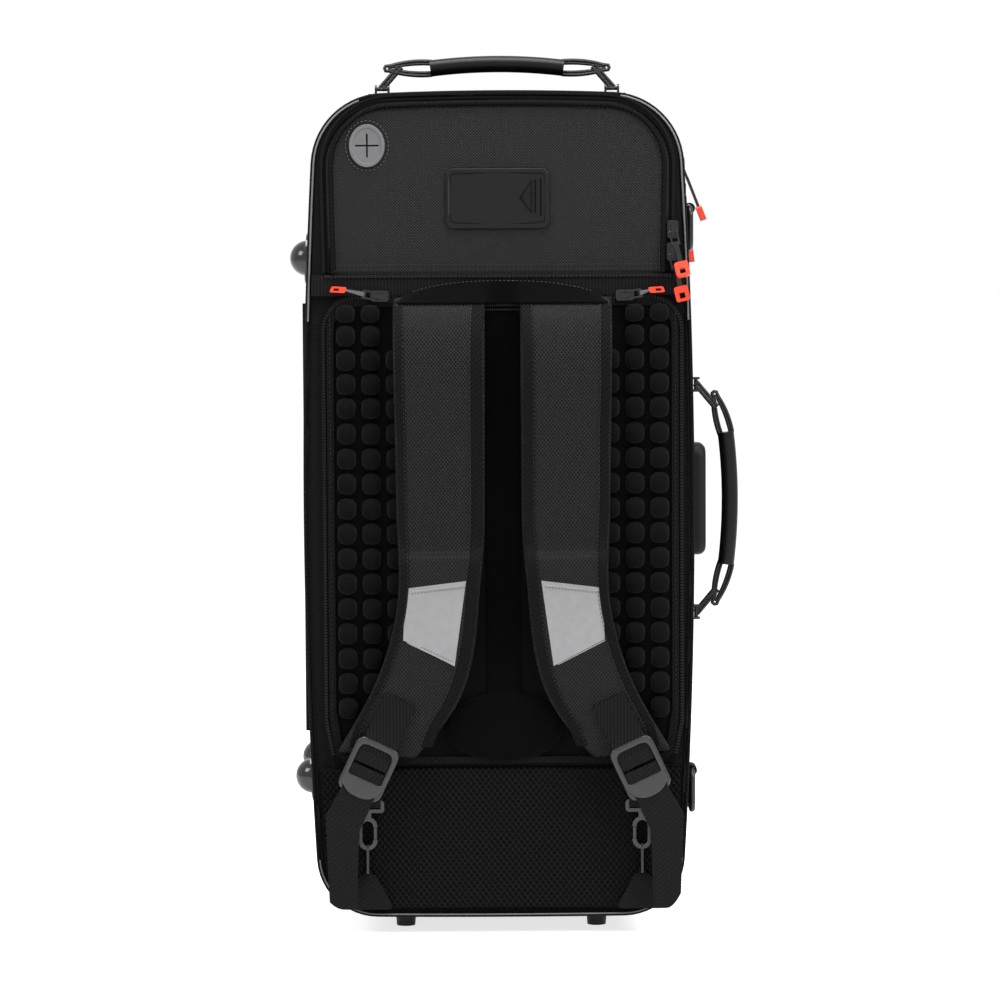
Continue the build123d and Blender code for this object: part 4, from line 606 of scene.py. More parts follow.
@dataclass
class Route:
    """A line of points that stitches, zip teeth or a cord follow."""

    points: list[Vector]
    closed: bool = False

    @staticmethod
    def rounded(corners: Sequence[Triple], depth: float, closed: bool = False) -> "Route":
        """A line in the upright plane with rounded corners.

        Args:
            corners: x, z and radius of each corner.
            depth: The line's y.
            closed: Whether it runs round.

        Returns:
            The route.
        """
        places = [Vector((x, depth, z)) for x, z, _ in corners]
        points: list[Vector] = []
        count = len(places)
        for index, (_, _, radius) in enumerate(corners):
            here = places[index]
            if radius <= 0 or (not closed and index in (0, count - 1)):
                points.append(here)
                continue
            back = (places[index - 1] - here).normalized()
            onward = (places[(index + 1) % count] - here).normalized()
            half = back.angle(onward) / 2
            reach = radius / math.tan(half)
            centre = here + (back + onward).normalized() * radius / math.sin(half)
            start, end = here + back * reach - centre, here + onward * reach - centre
            steps = 8
            points += [centre + start.slerp(end, step / steps).normalized() * radius for step in range(steps + 1)]
        return Route(points, closed)

    @staticmethod
    def framing(low: Vector, high: Vector, margin: float, radius: float, depth: float) -> "Route":
        """A closed rounded rectangle round a box.

        Args:
            low: The box's low corner.
            high: Its high corner.
            margin: How far outside the box it runs.
            radius: The radius of its corners.
            depth: Its y.

        Returns:
            The route.
        """
        left, right, bottom, top = low.x - margin, high.x + margin, low.z - margin, high.z + margin
        corners = ((left, bottom), (right, bottom), (right, top), (left, top))
        return Route.rounded([(*corner, radius) for corner in corners], depth, True)

    @staticmethod
    def straight(start: Sequence[float], end: Sequence[float]) -> "Route":
        """A straight line between two places."""
        return Route([Vector(start), Vector(end)])

    def bent(self, move: Move, pitch: float = 6.0) -> "Route":
        """The route with every point moved by a rule, after long runs are divided."""
        return Route([move(point) for point, _ in self.spaced(pitch)], self.closed)

    def length(self) -> float:
        """The length from its first point to its last."""
        return sum((b - a).length for a, b in zip(self.points, self.points[1:]))

    def opened(self) -> "Route":
        """A closed route as an open run that ends where it starts."""
        return Route(self.points + [self.points[0].copy()])

    def spaced(self, pitch: float) -> list[tuple[Vector, Vector]]:
        """Evenly spaced places on the route.

        Args:
            pitch: The distance between places.

        Returns:
            Each place with the direction there.
        """
        line = self.points + ([self.points[0]] if self.closed else [])
        runs = [(a, b, (b - a).length) for a, b in zip(line, line[1:]) if (b - a).length > 1e-6]
        total = sum(run[2] for run in runs)
        count = max(1, round(total / pitch))
        places, index, passed = [], 0, 0.0
        for step in range(count + (0 if self.closed else 1)):
            target = min(total - 1e-6, total * step / count)
            while passed + runs[index][2] < target:
                passed += runs[index][2]
                index += 1
            start, end, length = runs[index]
            places.append((start.lerp(end, (target - passed) / length), (end - start).normalized()))
        return places

    def beads(self, solid: Solid, pitch: float, size: Triple, out: Optional[Vector] = NEAR, shift: float = 0.0,
              square: bool = False, where: Optional[Rule] = None) -> None:
        """Set small stitches or teeth along the route.

        Args:
            solid: The mesh that they join.
            pitch: The distance between them.
            size: Their length along the route, their width and their height.
            out: The direction in which they stand up, or none for outwards in the upright plane.
            shift: How far they are set aside.
            square: Whether they are square teeth, where others are round stitches.
            where: Says which places have one, where not all do.
        """
        for place, along in self.spaced(pitch):
            if where and not where(place):
                continue
            side = (Vector((along.z, 0, -along.x)) if out is None else out).cross(along).normalized()
            up = along.cross(side).normalized()
            turn = Matrix((along, side, up)).transposed().to_4x4()
            matrix = Matrix.Translation(place - side * shift) @ turn @ Matrix.Diagonal((*size, 1))
            if square:
                bmesh.ops.create_cube(solid.bm, size=1, matrix=matrix)
            else:
                bmesh.ops.create_icosphere(solid.bm, subdivisions=1, radius=0.5, matrix=matrix)

    def tube(self, radius: float, sides: int = 10) -> bpy.types.Mesh:
        """A round tube along the route, in metres.

        Args:
            radius: The tube's radius.
            sides: The number of its sides.

        Returns:
            The mesh.
        """
        curve = bpy.data.curves.new("route", "CURVE")
        curve.dimensions = "3D"
        spline = curve.splines.new("POLY")
        spline.points.add(len(self.points) - 1)
        for point, place in zip(spline.points, self.points):
            point.co = (*(place * MM), 1)
        spline.use_cyclic_u = self.closed
        curve.bevel_depth = radius * MM
        curve.bevel_resolution = max(1, sides // 4 - 1)
        curve.use_fill_caps = True
        holder = bpy.data.objects.new("route", curve)
        mesh = bpy.data.meshes.new_from_object(holder)
        bpy.data.objects.remove(holder)
        bpy.data.curves.remove(curve)
        welded = bmesh.new()
        welded.from_mesh(mesh)
        bmesh.ops.remove_doubles(welded, verts=list(welded.verts), dist=1e-6)
        bmesh.ops.recalc_face_normals(welded, faces=list(welded.faces))
        welded.to_mesh(mesh)
        welded.free()
        return mesh


class CadSurface:
    """Reads the near side of a node of the frame, so that a soft piece can lie on it."""

    def __init__(self, *nodes: str) -> None:
        """Gather the triangles of nodes.

        Args:
            *nodes: Names of nodes.
        """
        verts: list[Vector] = []
        faces: list[list[int]] = []
        for node in nodes:
            mesh = frame["nodes"][node].data
            start = len(verts)
            verts += [v.co / MM for v in mesh.vertices]
            faces += [[start + i for i in p.vertices] for p in mesh.polygons]
        self.tree = BVHTree.FromPolygons(verts, faces)

    def near(self, x: float, z: float, otherwise: float) -> float:
        """The y of the near side at a place, or a given value where there is none."""
        found = self.tree.ray_cast(Vector((x, -400, z)), Vector((0, 1, 0)))[0]
        return found.y if found else otherwise


def keep(finish: Finish, *nodes: str) -> None:
    """Give nodes of the frame a finish and leave their shape.

    Args:
        finish: The finish.
        *nodes: Names of nodes.
    """
    for node in nodes:
        for slot in frame["nodes"][node].material_slots:
            slot.material = PALETTE.get(finish)
        LOG.info("%s keeps its shape", node)


def box_of(node: str) -> tuple[Vector, Vector]:
    """The low and the high corner of a node's box in millimetres."""
    low, high = (v * (1 / MM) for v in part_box(node))
    return low, high


def copied(node: str) -> Solid:
    """A merged copy of a node in millimetres, without the triangles' inner edges.

    Args:
        node: The node's name.

    Returns:
        The solid.
    """
    solid = Solid.read(frame["nodes"][node].data)
    bmesh.ops.remove_doubles(solid.bm, verts=list(solid.bm.verts), dist=0.01)
    bmesh.ops.dissolve_degenerate(solid.bm, edges=list(solid.bm.edges), dist=0.01)
    bmesh.ops.dissolve_limit(solid.bm, angle_limit=math.radians(1.5), verts=list(solid.bm.verts),
                             edges=list(solid.bm.edges))
    return solid


def dressed(node: str, body: str, finish: Finish, rounding: float = 0.0, pad: Optional[float] = None,
            segments: int = 2) -> bpy.types.Object:
    """A fabric form of a node with its edges rounded.

    Args:
        node: The node that it stands for.
        body: The body that carries it.
        finish: Its finish.
        rounding: The size of its rounded edges.
        pad: How full a padded piece is.
        segments: Steps of the rounding.

    Returns:
        The piece.
    """
    solid = copied(node)
    if rounding:
        solid.soften(rounding, segments, angle=50)
    solid.triangled()
    bmesh.ops.dissolve_degenerate(solid.bm, edges=list(solid.bm.edges), dist=0.02)
    return solid.triangled().outward().piece(node + "_cloth", body, finish, [node], pad=pad)


def plumped(node: str, body: str, finish: Finish, cell: float, rounds: int, swell: float, pad: float,
            shape: Optional[Move] = None) -> bpy.types.Object:
    """A padded form of a node: its edges melt together and its faces swell.

    Args:
        node: The node that it stands for.
        body: The body that carries it.
        finish: Its finish.
        cell: The size of the cells that it is rebuilt from.
        rounds: Rounds of smoothing.
        swell: How far it grows back outwards.
        pad: How full it is.
        shape: Moves each vertex at the end.

    Returns:
        The piece.
    """
    holder = in_scene(node + "_blank", frame["nodes"][node].data.copy())
    weld = holder.modifiers.new("weld", "WELD")
    weld.merge_threshold = 0.01 * MM
    rebuild = holder.modifiers.new("rebuild", "REMESH")
    rebuild.mode = "VOXEL"
    rebuild.voxel_size = cell * MM
    depsgraph = bpy.context.evaluated_depsgraph_get()
    mesh = bpy.data.meshes.new_from_object(holder.evaluated_get(depsgraph))
    bpy.data.objects.remove(holder)
    solid = Solid.read(mesh)
    bpy.data.meshes.remove(mesh)
    for _ in range(rounds):
        bmesh.ops.smooth_vert(solid.bm, verts=list(solid.bm.verts), factor=0.5,
                              use_axis_x=True, use_axis_y=True, use_axis_z=True)
    solid.bm.normal_update()
    for vert in solid.bm.verts:
        vert.co += vert.normal * swell
    if shape:
        solid.bend(shape)
    return solid.piece(node + "_pad", body, finish, [node], pad=pad)


def ribbon(solid: Solid, first: Route, second: Route, pitch: float = 5.0) -> None:
    """Lay a strip of tape between two routes.

    Args:
        solid: The mesh that it joins.
        first: One edge.
        second: The other edge.
        pitch: The length of its faces.
    """
    count = max(2, round(first.length() / pitch))
    chains = []
    for route in (first, second):
        verts = [solid.bm.verts.new(place) for place, _ in route.spaced(route.length() / count)]
        chains.append([solid.bm.edges.new(pair) for pair in zip(verts, verts[1:])])
    bmesh.ops.bridge_loops(solid.bm, edges=chains[0] + chains[1])


def pillow(solid: Solid, centre: Sequence[float], half: Sequence[float], square: float = 0.5,
           steps: int = 2) -> None:
    """Add one stuffed pad, a sphere pressed towards a box.

    Args:
        solid: The mesh that it joins.
        centre: Its middle.
        half: Its half sizes.
        square: How square it is, from 1, round, towards 0.
        steps: Subdivisions of the sphere.
    """
    made = bmesh.ops.create_icosphere(solid.bm, subdivisions=steps, radius=1)
    for vert in made["verts"]:
        pressed = [math.copysign(abs(c) ** square, c) for c in vert.co]
        vert.co = Vector([c + h * p for c, h, p in zip(centre, half, pressed)])


def set_tube(route: Route, radius: float, name: str, body: str, finish: Finish, sides: int = 12,
             replaces: Sequence[str] = ()) -> bpy.types.Object:
    """Make a round cord or piping along a route.

    Args:
        route: The route.
        radius: The cord's radius.
        name: The piece's name.
        body: The body that carries it.
        finish: Its finish.
        sides: The number of its sides.
        replaces: The nodes that it stands for.

    Returns:
        The piece.
    """
    return set_piece(route.tube(radius, sides), name, body, finish, replaces)


def set_stitches(routes: Sequence[Route], name: str, body: str, finish: Finish, pitch: float = 3.2,
                 size: Triple = (2.1, 0.5, 0.45), out: Optional[Vector] = NEAR, shift: float = 0.0,
                 where: Optional[Rule] = None) -> None:
    """Sew a row of stitches along each route.

    Args:
        routes: The rows.
        name: The piece's name.
        body: The body that carries it.
        finish: The thread's finish.
        pitch: The length of a stitch with its gap.
        size: Length, width and height of a stitch.
        out: The direction in which the stitches stand up, or none for outwards in the upright plane.
        shift: How far the rows are set aside.
        where: Says which places have a stitch, where not all do.
    """
    solid = Solid()
    for route in routes:
        route.beads(solid, pitch, size, out, shift, where=where)
    solid.piece(name, body, finish)


def set_teeth(route: Route, name: str, body: str, finish: Finish, pitch: float, size: Triple,
              out: Optional[Vector] = NEAR) -> None:
    """Set zip teeth along a route.

    Args:
        route: The zip's line.
        name: The piece's name.
        body: The body that carries it.
        finish: The teeth's finish.
        pitch: The distance between teeth.
        size: Length, width and height of a tooth.
        out: The direction in which the teeth stand up, or none for outwards in the upright plane.
    """
    solid = Solid()
    route.beads(solid, pitch, size, out, square=True)
    solid.piece(name, body, finish, smooth=False)


def even_out(line: list[Pair], reach: int = 3) -> list[Pair]:
    """A line whose sideways steps are averaged.

    Args:
        line: Its points.
        reach: How many neighbours on each side count.

    Returns:
        The smoother line.
    """
    smooth = []
    for index, (_, z) in enumerate(line):
        near = line[max(0, index - reach):index + reach + 1]
        smooth.append((sum(p[0] for p in near) / len(near), z))
    return smooth


@dataclass
class BodyShape:
    """The upright outline that the case, its zip and its piping share."""

    half_width: float = 140.0
    side_bulge: float = 10.0
    middle: float = 309.0
    top: float = 608.0
    crown: float = 604.0
    bottom: float = 13.0
    base: float = 14.0
    corner_x: float = 130.0
    top_corner: float = 52.0
    bottom_corner: float = 44.0
    near: float = -100.0
    parting: float = 10.0
    far: float = 86.0
    cap_steps: int = 12
    low_steps: int = 12
    side_steps: int = 40
    high_steps: int = 14

    def __post_init__(self) -> None:
        """Work out the arcs' radii and centres."""
        self.side_radius = ((self.crown - self.base) ** 2 / 4 + self.side_bulge ** 2) / (2 * self.side_bulge)
        self.side_centre = self.half_width - self.side_radius
        rise = self.top - self.crown
        self.top_radius = (self.corner_x ** 2 + rise ** 2) / (2 * rise)
        fall = self.base - self.bottom
        self.bottom_radius = (self.corner_x ** 2 + fall ** 2) / (2 * fall)

    def side_x(self, z: float) -> float:
        """The half width at a height."""
        return self.side_centre + math.sqrt(self.side_radius ** 2 - (z - self.middle) ** 2)

    def corner(self, upper: bool) -> tuple[Vector, float, float, float]:
        """A right-hand corner's centre, radius and the angles at which its arc starts and ends.

        Args:
            upper: Whether it is the upper corner.

        Returns:
            Centre (x, z), radius, and angles from the x axis in radians.
        """
        radius = self.top_corner if upper else self.bottom_corner
        cap_radius = self.top_radius if upper else self.bottom_radius
        cap_z = self.top - self.top_radius if upper else self.bottom + self.bottom_radius
        side, cap = Vector((self.side_centre, self.middle)), Vector((0.0, cap_z))
        reach_a, reach_b = self.side_radius - radius, cap_radius - radius
        gap = (cap - side).length
        along = (reach_a ** 2 - reach_b ** 2 + gap ** 2) / (2 * gap)
        lift = math.sqrt(reach_a ** 2 - along ** 2)
        line = (cap - side).normalized()
        across = Vector((-line.y, line.x))
        both = [side + line * along + across * s * lift for s in (-1, 1)]
        centre = max(both, key=lambda p: p.x)
        from_side, from_cap = centre - side, centre - cap
        return centre, radius, math.atan2(from_side.y, from_side.x), math.atan2(from_cap.y, from_cap.x)

    def half_outline(self, inset: float, depth: float) -> list[Vector]:
        """The right half of the outline from the middle of the bottom to the middle of the top.

        Args:
            inset: How far it is drawn in.
            depth: Its y.

        Returns:
            Points of the line.
        """
        low, low_radius, low_side, low_cap = self.corner(False)
        high, high_radius, high_side, high_cap = self.corner(True)
        low_reach, high_reach = low_radius - inset, high_radius - inset

        def bow(x: float, upper: bool) -> Vector:
            """A place on the top or the bottom line."""
            radius = self.top_radius if upper else self.bottom_radius
            rise = math.sqrt((radius - inset) ** 2 - x * x)
            return Vector((x, depth, self.top - radius + rise if upper else self.bottom + radius - rise))

        def turn(centre: Vector, reach: float, angle: float) -> Vector:
            """A place on a corner's arc."""
            return Vector((centre.x + reach * math.cos(angle), depth, centre.y + reach * math.sin(angle)))

        caps, lows, sides, highs = self.cap_steps, self.low_steps, self.side_steps, self.high_steps
        end_x = low.x + low_reach * math.cos(low_cap)
        points = [bow(end_x * step / caps, False) for step in range(caps)]
        points += [turn(low, low_reach, low_cap + (low_side - low_cap) * step / lows) for step in range(lows + 1)]
        start_z, end_z = points[-1].z, high.y + high_reach * math.sin(high_side)
        heights = [start_z + (end_z - start_z) * step / sides for step in range(1, sides)]
        points += [Vector((self.side_x(z) - inset, depth, z)) for z in heights]
        points += [turn(high, high_reach, high_side + (high_cap - high_side) * i / highs) for i in range(highs + 1)]
        start_x = points[-1].x
        return points + [bow(start_x * (caps - step) / caps, True) for step in range(1, caps + 1)]

    def outline(self, inset: float, depth: float) -> Route:
        """The whole outline, starting at the middle of the bottom and going up the right."""
        right = self.half_outline(inset, depth)
        left = [Vector((-p.x, p.y, p.z)) for p in reversed(right[1:-1])]
        return Route(right + left, True)


@dataclass(frozen=True)
class Lamp:
    """One square soft lamp. Lengths are in metres."""

    name: str
    place: Triple
    size: float
    watts: float


@dataclass
class Studio:
    """A pale floor, a pale backdrop, soft lamps and the camera. Places are in metres, the lens in millimetres."""

    camera_place: Triple = (0.0017, -2.9, 0.515)
    focal: float = 140.5
    sensor: float = 36.0
    sight: float = 60.0
    tilt: float = 4.08
    roll: float = 0.3
    floor_half: float = 12.0
    paper_shades: Pair = (0.78, 0.82)
    paper_glow: float = 0.74
    surround_light: float = 0.34
    aim: Triple = (0.0, 0.0, 0.32)
    lamps: tuple[Lamp, ...] = (Lamp("key", (1.5, -1.2, 1.6), 0.9, 34), Lamp("fill", (-1.6, -1.2, 1.6), 0.9, 20),
                               Lamp("top", (0.0, -0.45, 2.2), 1.1, 52))

    def seen(self, w: Wiring) -> Socket:
        """One where the eye sees a surface straight, mirrored or through glass, and nothing elsewhere."""
        path = w.add("ShaderNodeLightPath").outputs
        clear = w.math("MAXIMUM", path["Is Glossy Ray"], path["Is Transmission Ray"])
        return w.math("MAXIMUM", path["Is Camera Ray"], clear)

    def pale(self) -> bpy.types.Material:
        """The floor's white paper."""
        material = bpy.data.materials.new("studio_paper")
        material.use_nodes = True
        w = Wiring(material.node_tree)
        shader = material.node_tree.nodes["Principled BSDF"]
        grain = w.add("ShaderNodeTexNoise", {"Scale": 60.0, "Detail": 2.0}).outputs[0]
        dark, light = self.paper_shades
        paper = w.add("ShaderNodeMapRange", {0: grain, 3: dark, 4: light}).outputs[0]
        w.tree.links.new(paper, shader.inputs["Base Color"])
        shader.inputs["Roughness"].default_value = 0.9
        shader.inputs["Specular IOR Level"].default_value = 0.1
        w.tree.links.new(w.math("MULTIPLY", self.seen(w), self.paper_glow), shader.inputs["Emission Strength"])
        shader.inputs["Emission Color"].default_value = (1, 1, 1, 1)
        return material

    def build(self) -> None:
        """Set up the floor, the world, the lamps and the camera."""
        bpy.context.scene.view_settings.view_transform = "Standard"
        bm = bmesh.new()
        bmesh.ops.create_grid(bm, x_segments=1, y_segments=1, size=self.floor_half)
        mesh = bpy.data.meshes.new("floor")
        bm.to_mesh(mesh)
        bm.free()
        mesh.materials.append(self.pale())
        floor = in_scene("floor", mesh)
        lamps = [self.lamp(lamp) for lamp in self.lamps]
        self.world()
        self.camera()

    def lamp(self, kind: Lamp) -> bpy.types.Object:
        """Hang one lamp so that it looks at the case's middle.

        Args:
            kind: The lamp.

        Returns:
            The lamp's object.
        """
        data = bpy.data.lights.new(kind.name, "AREA")
        data.size, data.energy = kind.size, kind.watts
        lamp = in_scene(kind.name, data)
        lamp.location = kind.place
        lamp.rotation_euler = (Vector(self.aim) - Vector(kind.place)).to_track_quat("-Z", "Y").to_euler()
        return lamp

    def world(self) -> None:
        """A white surround to the eye and in reflections, and a calmer one as light."""
        world = bpy.data.worlds.new("surround")
        world.use_nodes = True
        bpy.context.scene.world = world
        w = Wiring(world.node_tree)
        ground = world.node_tree.nodes["Background"]
        strength = w.add("ShaderNodeMapRange", {0: self.seen(w), 3: self.surround_light, 4: 1.0}).outputs[0]
        ground.inputs[0].default_value = (1, 1, 1, 1)
        w.tree.links.new(strength, ground.inputs[1])

    def camera(self) -> None:
        """The camera level with the band, far off, looking a little down at the case's middle."""
        data = bpy.data.cameras.new("camera")
        data.lens, data.sensor_width = self.focal, self.sensor
        data.clip_end = self.sight
        camera = in_scene("camera", data)
        camera.location = self.camera_place
        camera.rotation_euler = (math.radians(90 - self.tilt), math.radians(self.roll), 0)
        bpy.context.scene.camera = camera


@dataclass
class Shell:
    """The case's two fabric halves, their piping, zip, spine and front pocket."""

    shape: BodyShape
    cloth_inset: float = 2.6
    cloth_back: float = 1.9
    cloth_thickness: float = 0.4
    piping: float = 1.3
    piping_inset: float = 0.6
    piping_back: float = 0.4
    # The painted highlight over the piping: its share of the piping's radius, and of that along the bottom, its inset,
    # its rise, the height above which it runs, the gap in it at the top and the height below which it runs along the
    # bottom.
    highlight_share: float = 0.55
    low_highlight_share: float = 0.8
    highlight_inset: float = 1.5
    highlight_rise: float = 1.35
    highlight_from: float = 440.0
    highlight_gap: Pair = (-96.0, 88.0)
    low_highlight_to: float = 60.0
    seam_from_zip: float = 16.0
    seam_from_edge: float = 6.0
    tooth_pitch: float = 2.4
    coil_shift: float = 1.05
    spine_ends: Pair = (59.0, 531.0)
    spine_rows: int = 40
    spine_steps: tuple[float, ...] = (0.8, 1.6, 2.4, 3.2, 4.0, 5.5, 7.5)
    spine_lift: float = 2.1
    spine_thickness: float = 0.8
    spine_bend: float = 3.2
    front_margin: float = 7.0
    front_corner: float = 20.0
    front_zip_half: float = 84.0
    front_zip_height: float = 385.0

    def arc(self, kept: Rule, inset: float, depth: float) -> Route:
        """The part of the outline that a rule keeps, turned so that it is one run.

        Args:
            kept: The rule.
            inset: How far the outline is drawn in.
            depth: Its y.

        Returns:
            The run.
        """
        points = self.shape.outline(inset, depth).points
        start = next(i for i, point in enumerate(points) if kept(point) and not kept(points[i - 1]))
        return Route([p for p in points[start:] + points[:start] if kept(p)])

    def build(self) -> None:
        """Dress both halves."""
        for body in ("back", "lid"):
            dressed(f"{body}_gusset", body, SIDE_NYLON, 1.4)
        self.near_cloth()
        self.edges()
        self.seams()
        self.zip()
        self.spine()
        self.front()

    def near_cloth(self) -> None:
        """Stretch a cloth over the near side, under the pocket and the cover."""
        cloth = Solid()
        rim = self.shape.outline(self.cloth_inset, self.shape.near + self.cloth_back)
        cloth.bm.faces.new([cloth.bm.verts.new(p) for p in rim.points])
        cloth.thicken(self.cloth_thickness).triangled().piece("near_cloth", "back", SIDE_NYLON, smooth=False)

    def edges(self) -> None:
        """Run piping round the near and the far edge, with the runs of it that catch the light."""
        near, far = self.shape.near + self.piping_back, self.shape.far - self.piping_back
        set_tube(self.shape.outline(self.piping_inset, near), self.piping, "edge_piping", "back", TWILL_TAPE)
        # Painted highlight: paler tubes laid over the piping on its top runs, where it catches the light.
        light, depth = self.piping * self.highlight_share, near - self.highlight_rise
        gap_start, gap_end = self.highlight_gap
        over = self.arc(lambda p: p.z > self.highlight_from and not gap_start < p.x < gap_end, self.highlight_inset, depth)
        steps = [(b - a).length for a, b in zip(over.points, over.points[1:])]
        split = steps.index(max(steps)) + 1
        for name, points in (("right", over.points[:split]), ("left", over.points[split:])):
            set_tube(Route(points), light, f"piping_highlight_{name}", "back", PIPING_HIGHLIGHT, 8)
        # Painted highlight along the bottom edge as well, in the grey thread's finish.
        low = self.arc(lambda p: p.z < self.low_highlight_to, self.highlight_inset, depth)
        set_tube(low, light * self.low_highlight_share, "piping_highlight_low", "back", GREY_THREAD, 8)
        set_tube(self.shape.outline(self.piping_inset, far), self.piping, "far_piping", "lid", TWILL_TAPE)

    def seams(self) -> None:
        """Sew the gussets beside the zip and beside the piping, not under the case or at its spine."""
        for name, body, depth in (("back_seam", "back", self.shape.parting - self.seam_from_zip),
                                  ("near_seam", "back", self.shape.near + self.seam_from_edge),
                                  ("lid_seam", "lid", self.shape.parting + self.seam_from_zip)):
            set_stitches([self.shape.outline(-0.12, depth)], name, body, DARK_THREAD, 3.4, (2.2, 0.5, 0.4), None,
                         where=lambda p: p.z >= 20 and p.x >= -120)

    def zip(self) -> None:
        """Set the main zip's teeth on the two coils."""
        keep(ZIP_TAPE, "main_zip_back", "main_zip_lid")
        for body, side in (("back", -1), ("lid", 1)):
            coil = self.shape.outline(-0.2, self.shape.parting + side * self.coil_shift)
            set_teeth(coil, f"main_teeth_{body}", body, ZIP_COIL, self.tooth_pitch, (1.3, 1.8, 2.1), None)

    def spine(self) -> None:
        """Dress the two spine leaves and join them with a strip of cloth across the hinge."""
        for body in ("back", "lid"):
            dressed(f"spine_leaf_{body}", body, SIDE_NYLON, 0.4)
        low, high = self.spine_ends
        across = [-y for y in reversed(self.spine_steps)] + [0.0] + list(self.spine_steps)
        solid = Solid()
        rows = []
        for step in range(self.spine_rows + 1):
            z = low + (high - low) * step / self.spine_rows
            x = -self.shape.side_x(z) - self.spine_lift
            rows.append([solid.bm.verts.new((x, self.shape.parting + y, z)) for y in across])
        for one, two in zip(rows, rows[1:]):
            for corners in zip(one, one[1:], two[1:], two):
                solid.bm.faces.new(corners)
        cloth = solid.thicken(self.spine_thickness, RIGHT).piece("spine_strip", "", SIDE_NYLON)
        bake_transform(cloth)

    def front(self) -> None:
        """Dress the pocket on the lid."""
        dressed("front_pocket", "lid", DOOR_NYLON, 1.0)
        low, high = box_of("front_pocket")
        row = Route.framing(low, high, -self.front_margin, self.front_corner, high.y + 0.35)
        set_stitches([row], "front_stitches", "lid", GREY_THREAD, out=FAR)
        half, depth, height = self.front_zip_half, high.y - 0.2, self.front_zip_height
        coil = Route.straight((-half, depth, height), (half, depth, height))
        set_teeth(coil, "front_teeth", "lid", ZIP_COIL, 2.0, (1.1, 3.6, 1.6), FAR)


@dataclass
class Interior:
    """Linings, the foam bed for the trumpet and the strap over its neck."""

    def build(self) -> None:
        """Dress what is seen when the lid is open."""
        keep(FRAME_PLASTIC, "back_frame", "lid_frame")
        keep(LINING_PLUSH, "back_lining")
        dressed("lid_lining", "lid", LINING_PLUSH, 0.6, pad=0.5)
        dressed("foam_bed", "back", BED_FLOCK, 2.0, pad=0.8, segments=3)
        dressed("neck_strap", "back", WEBBING, 0.5)


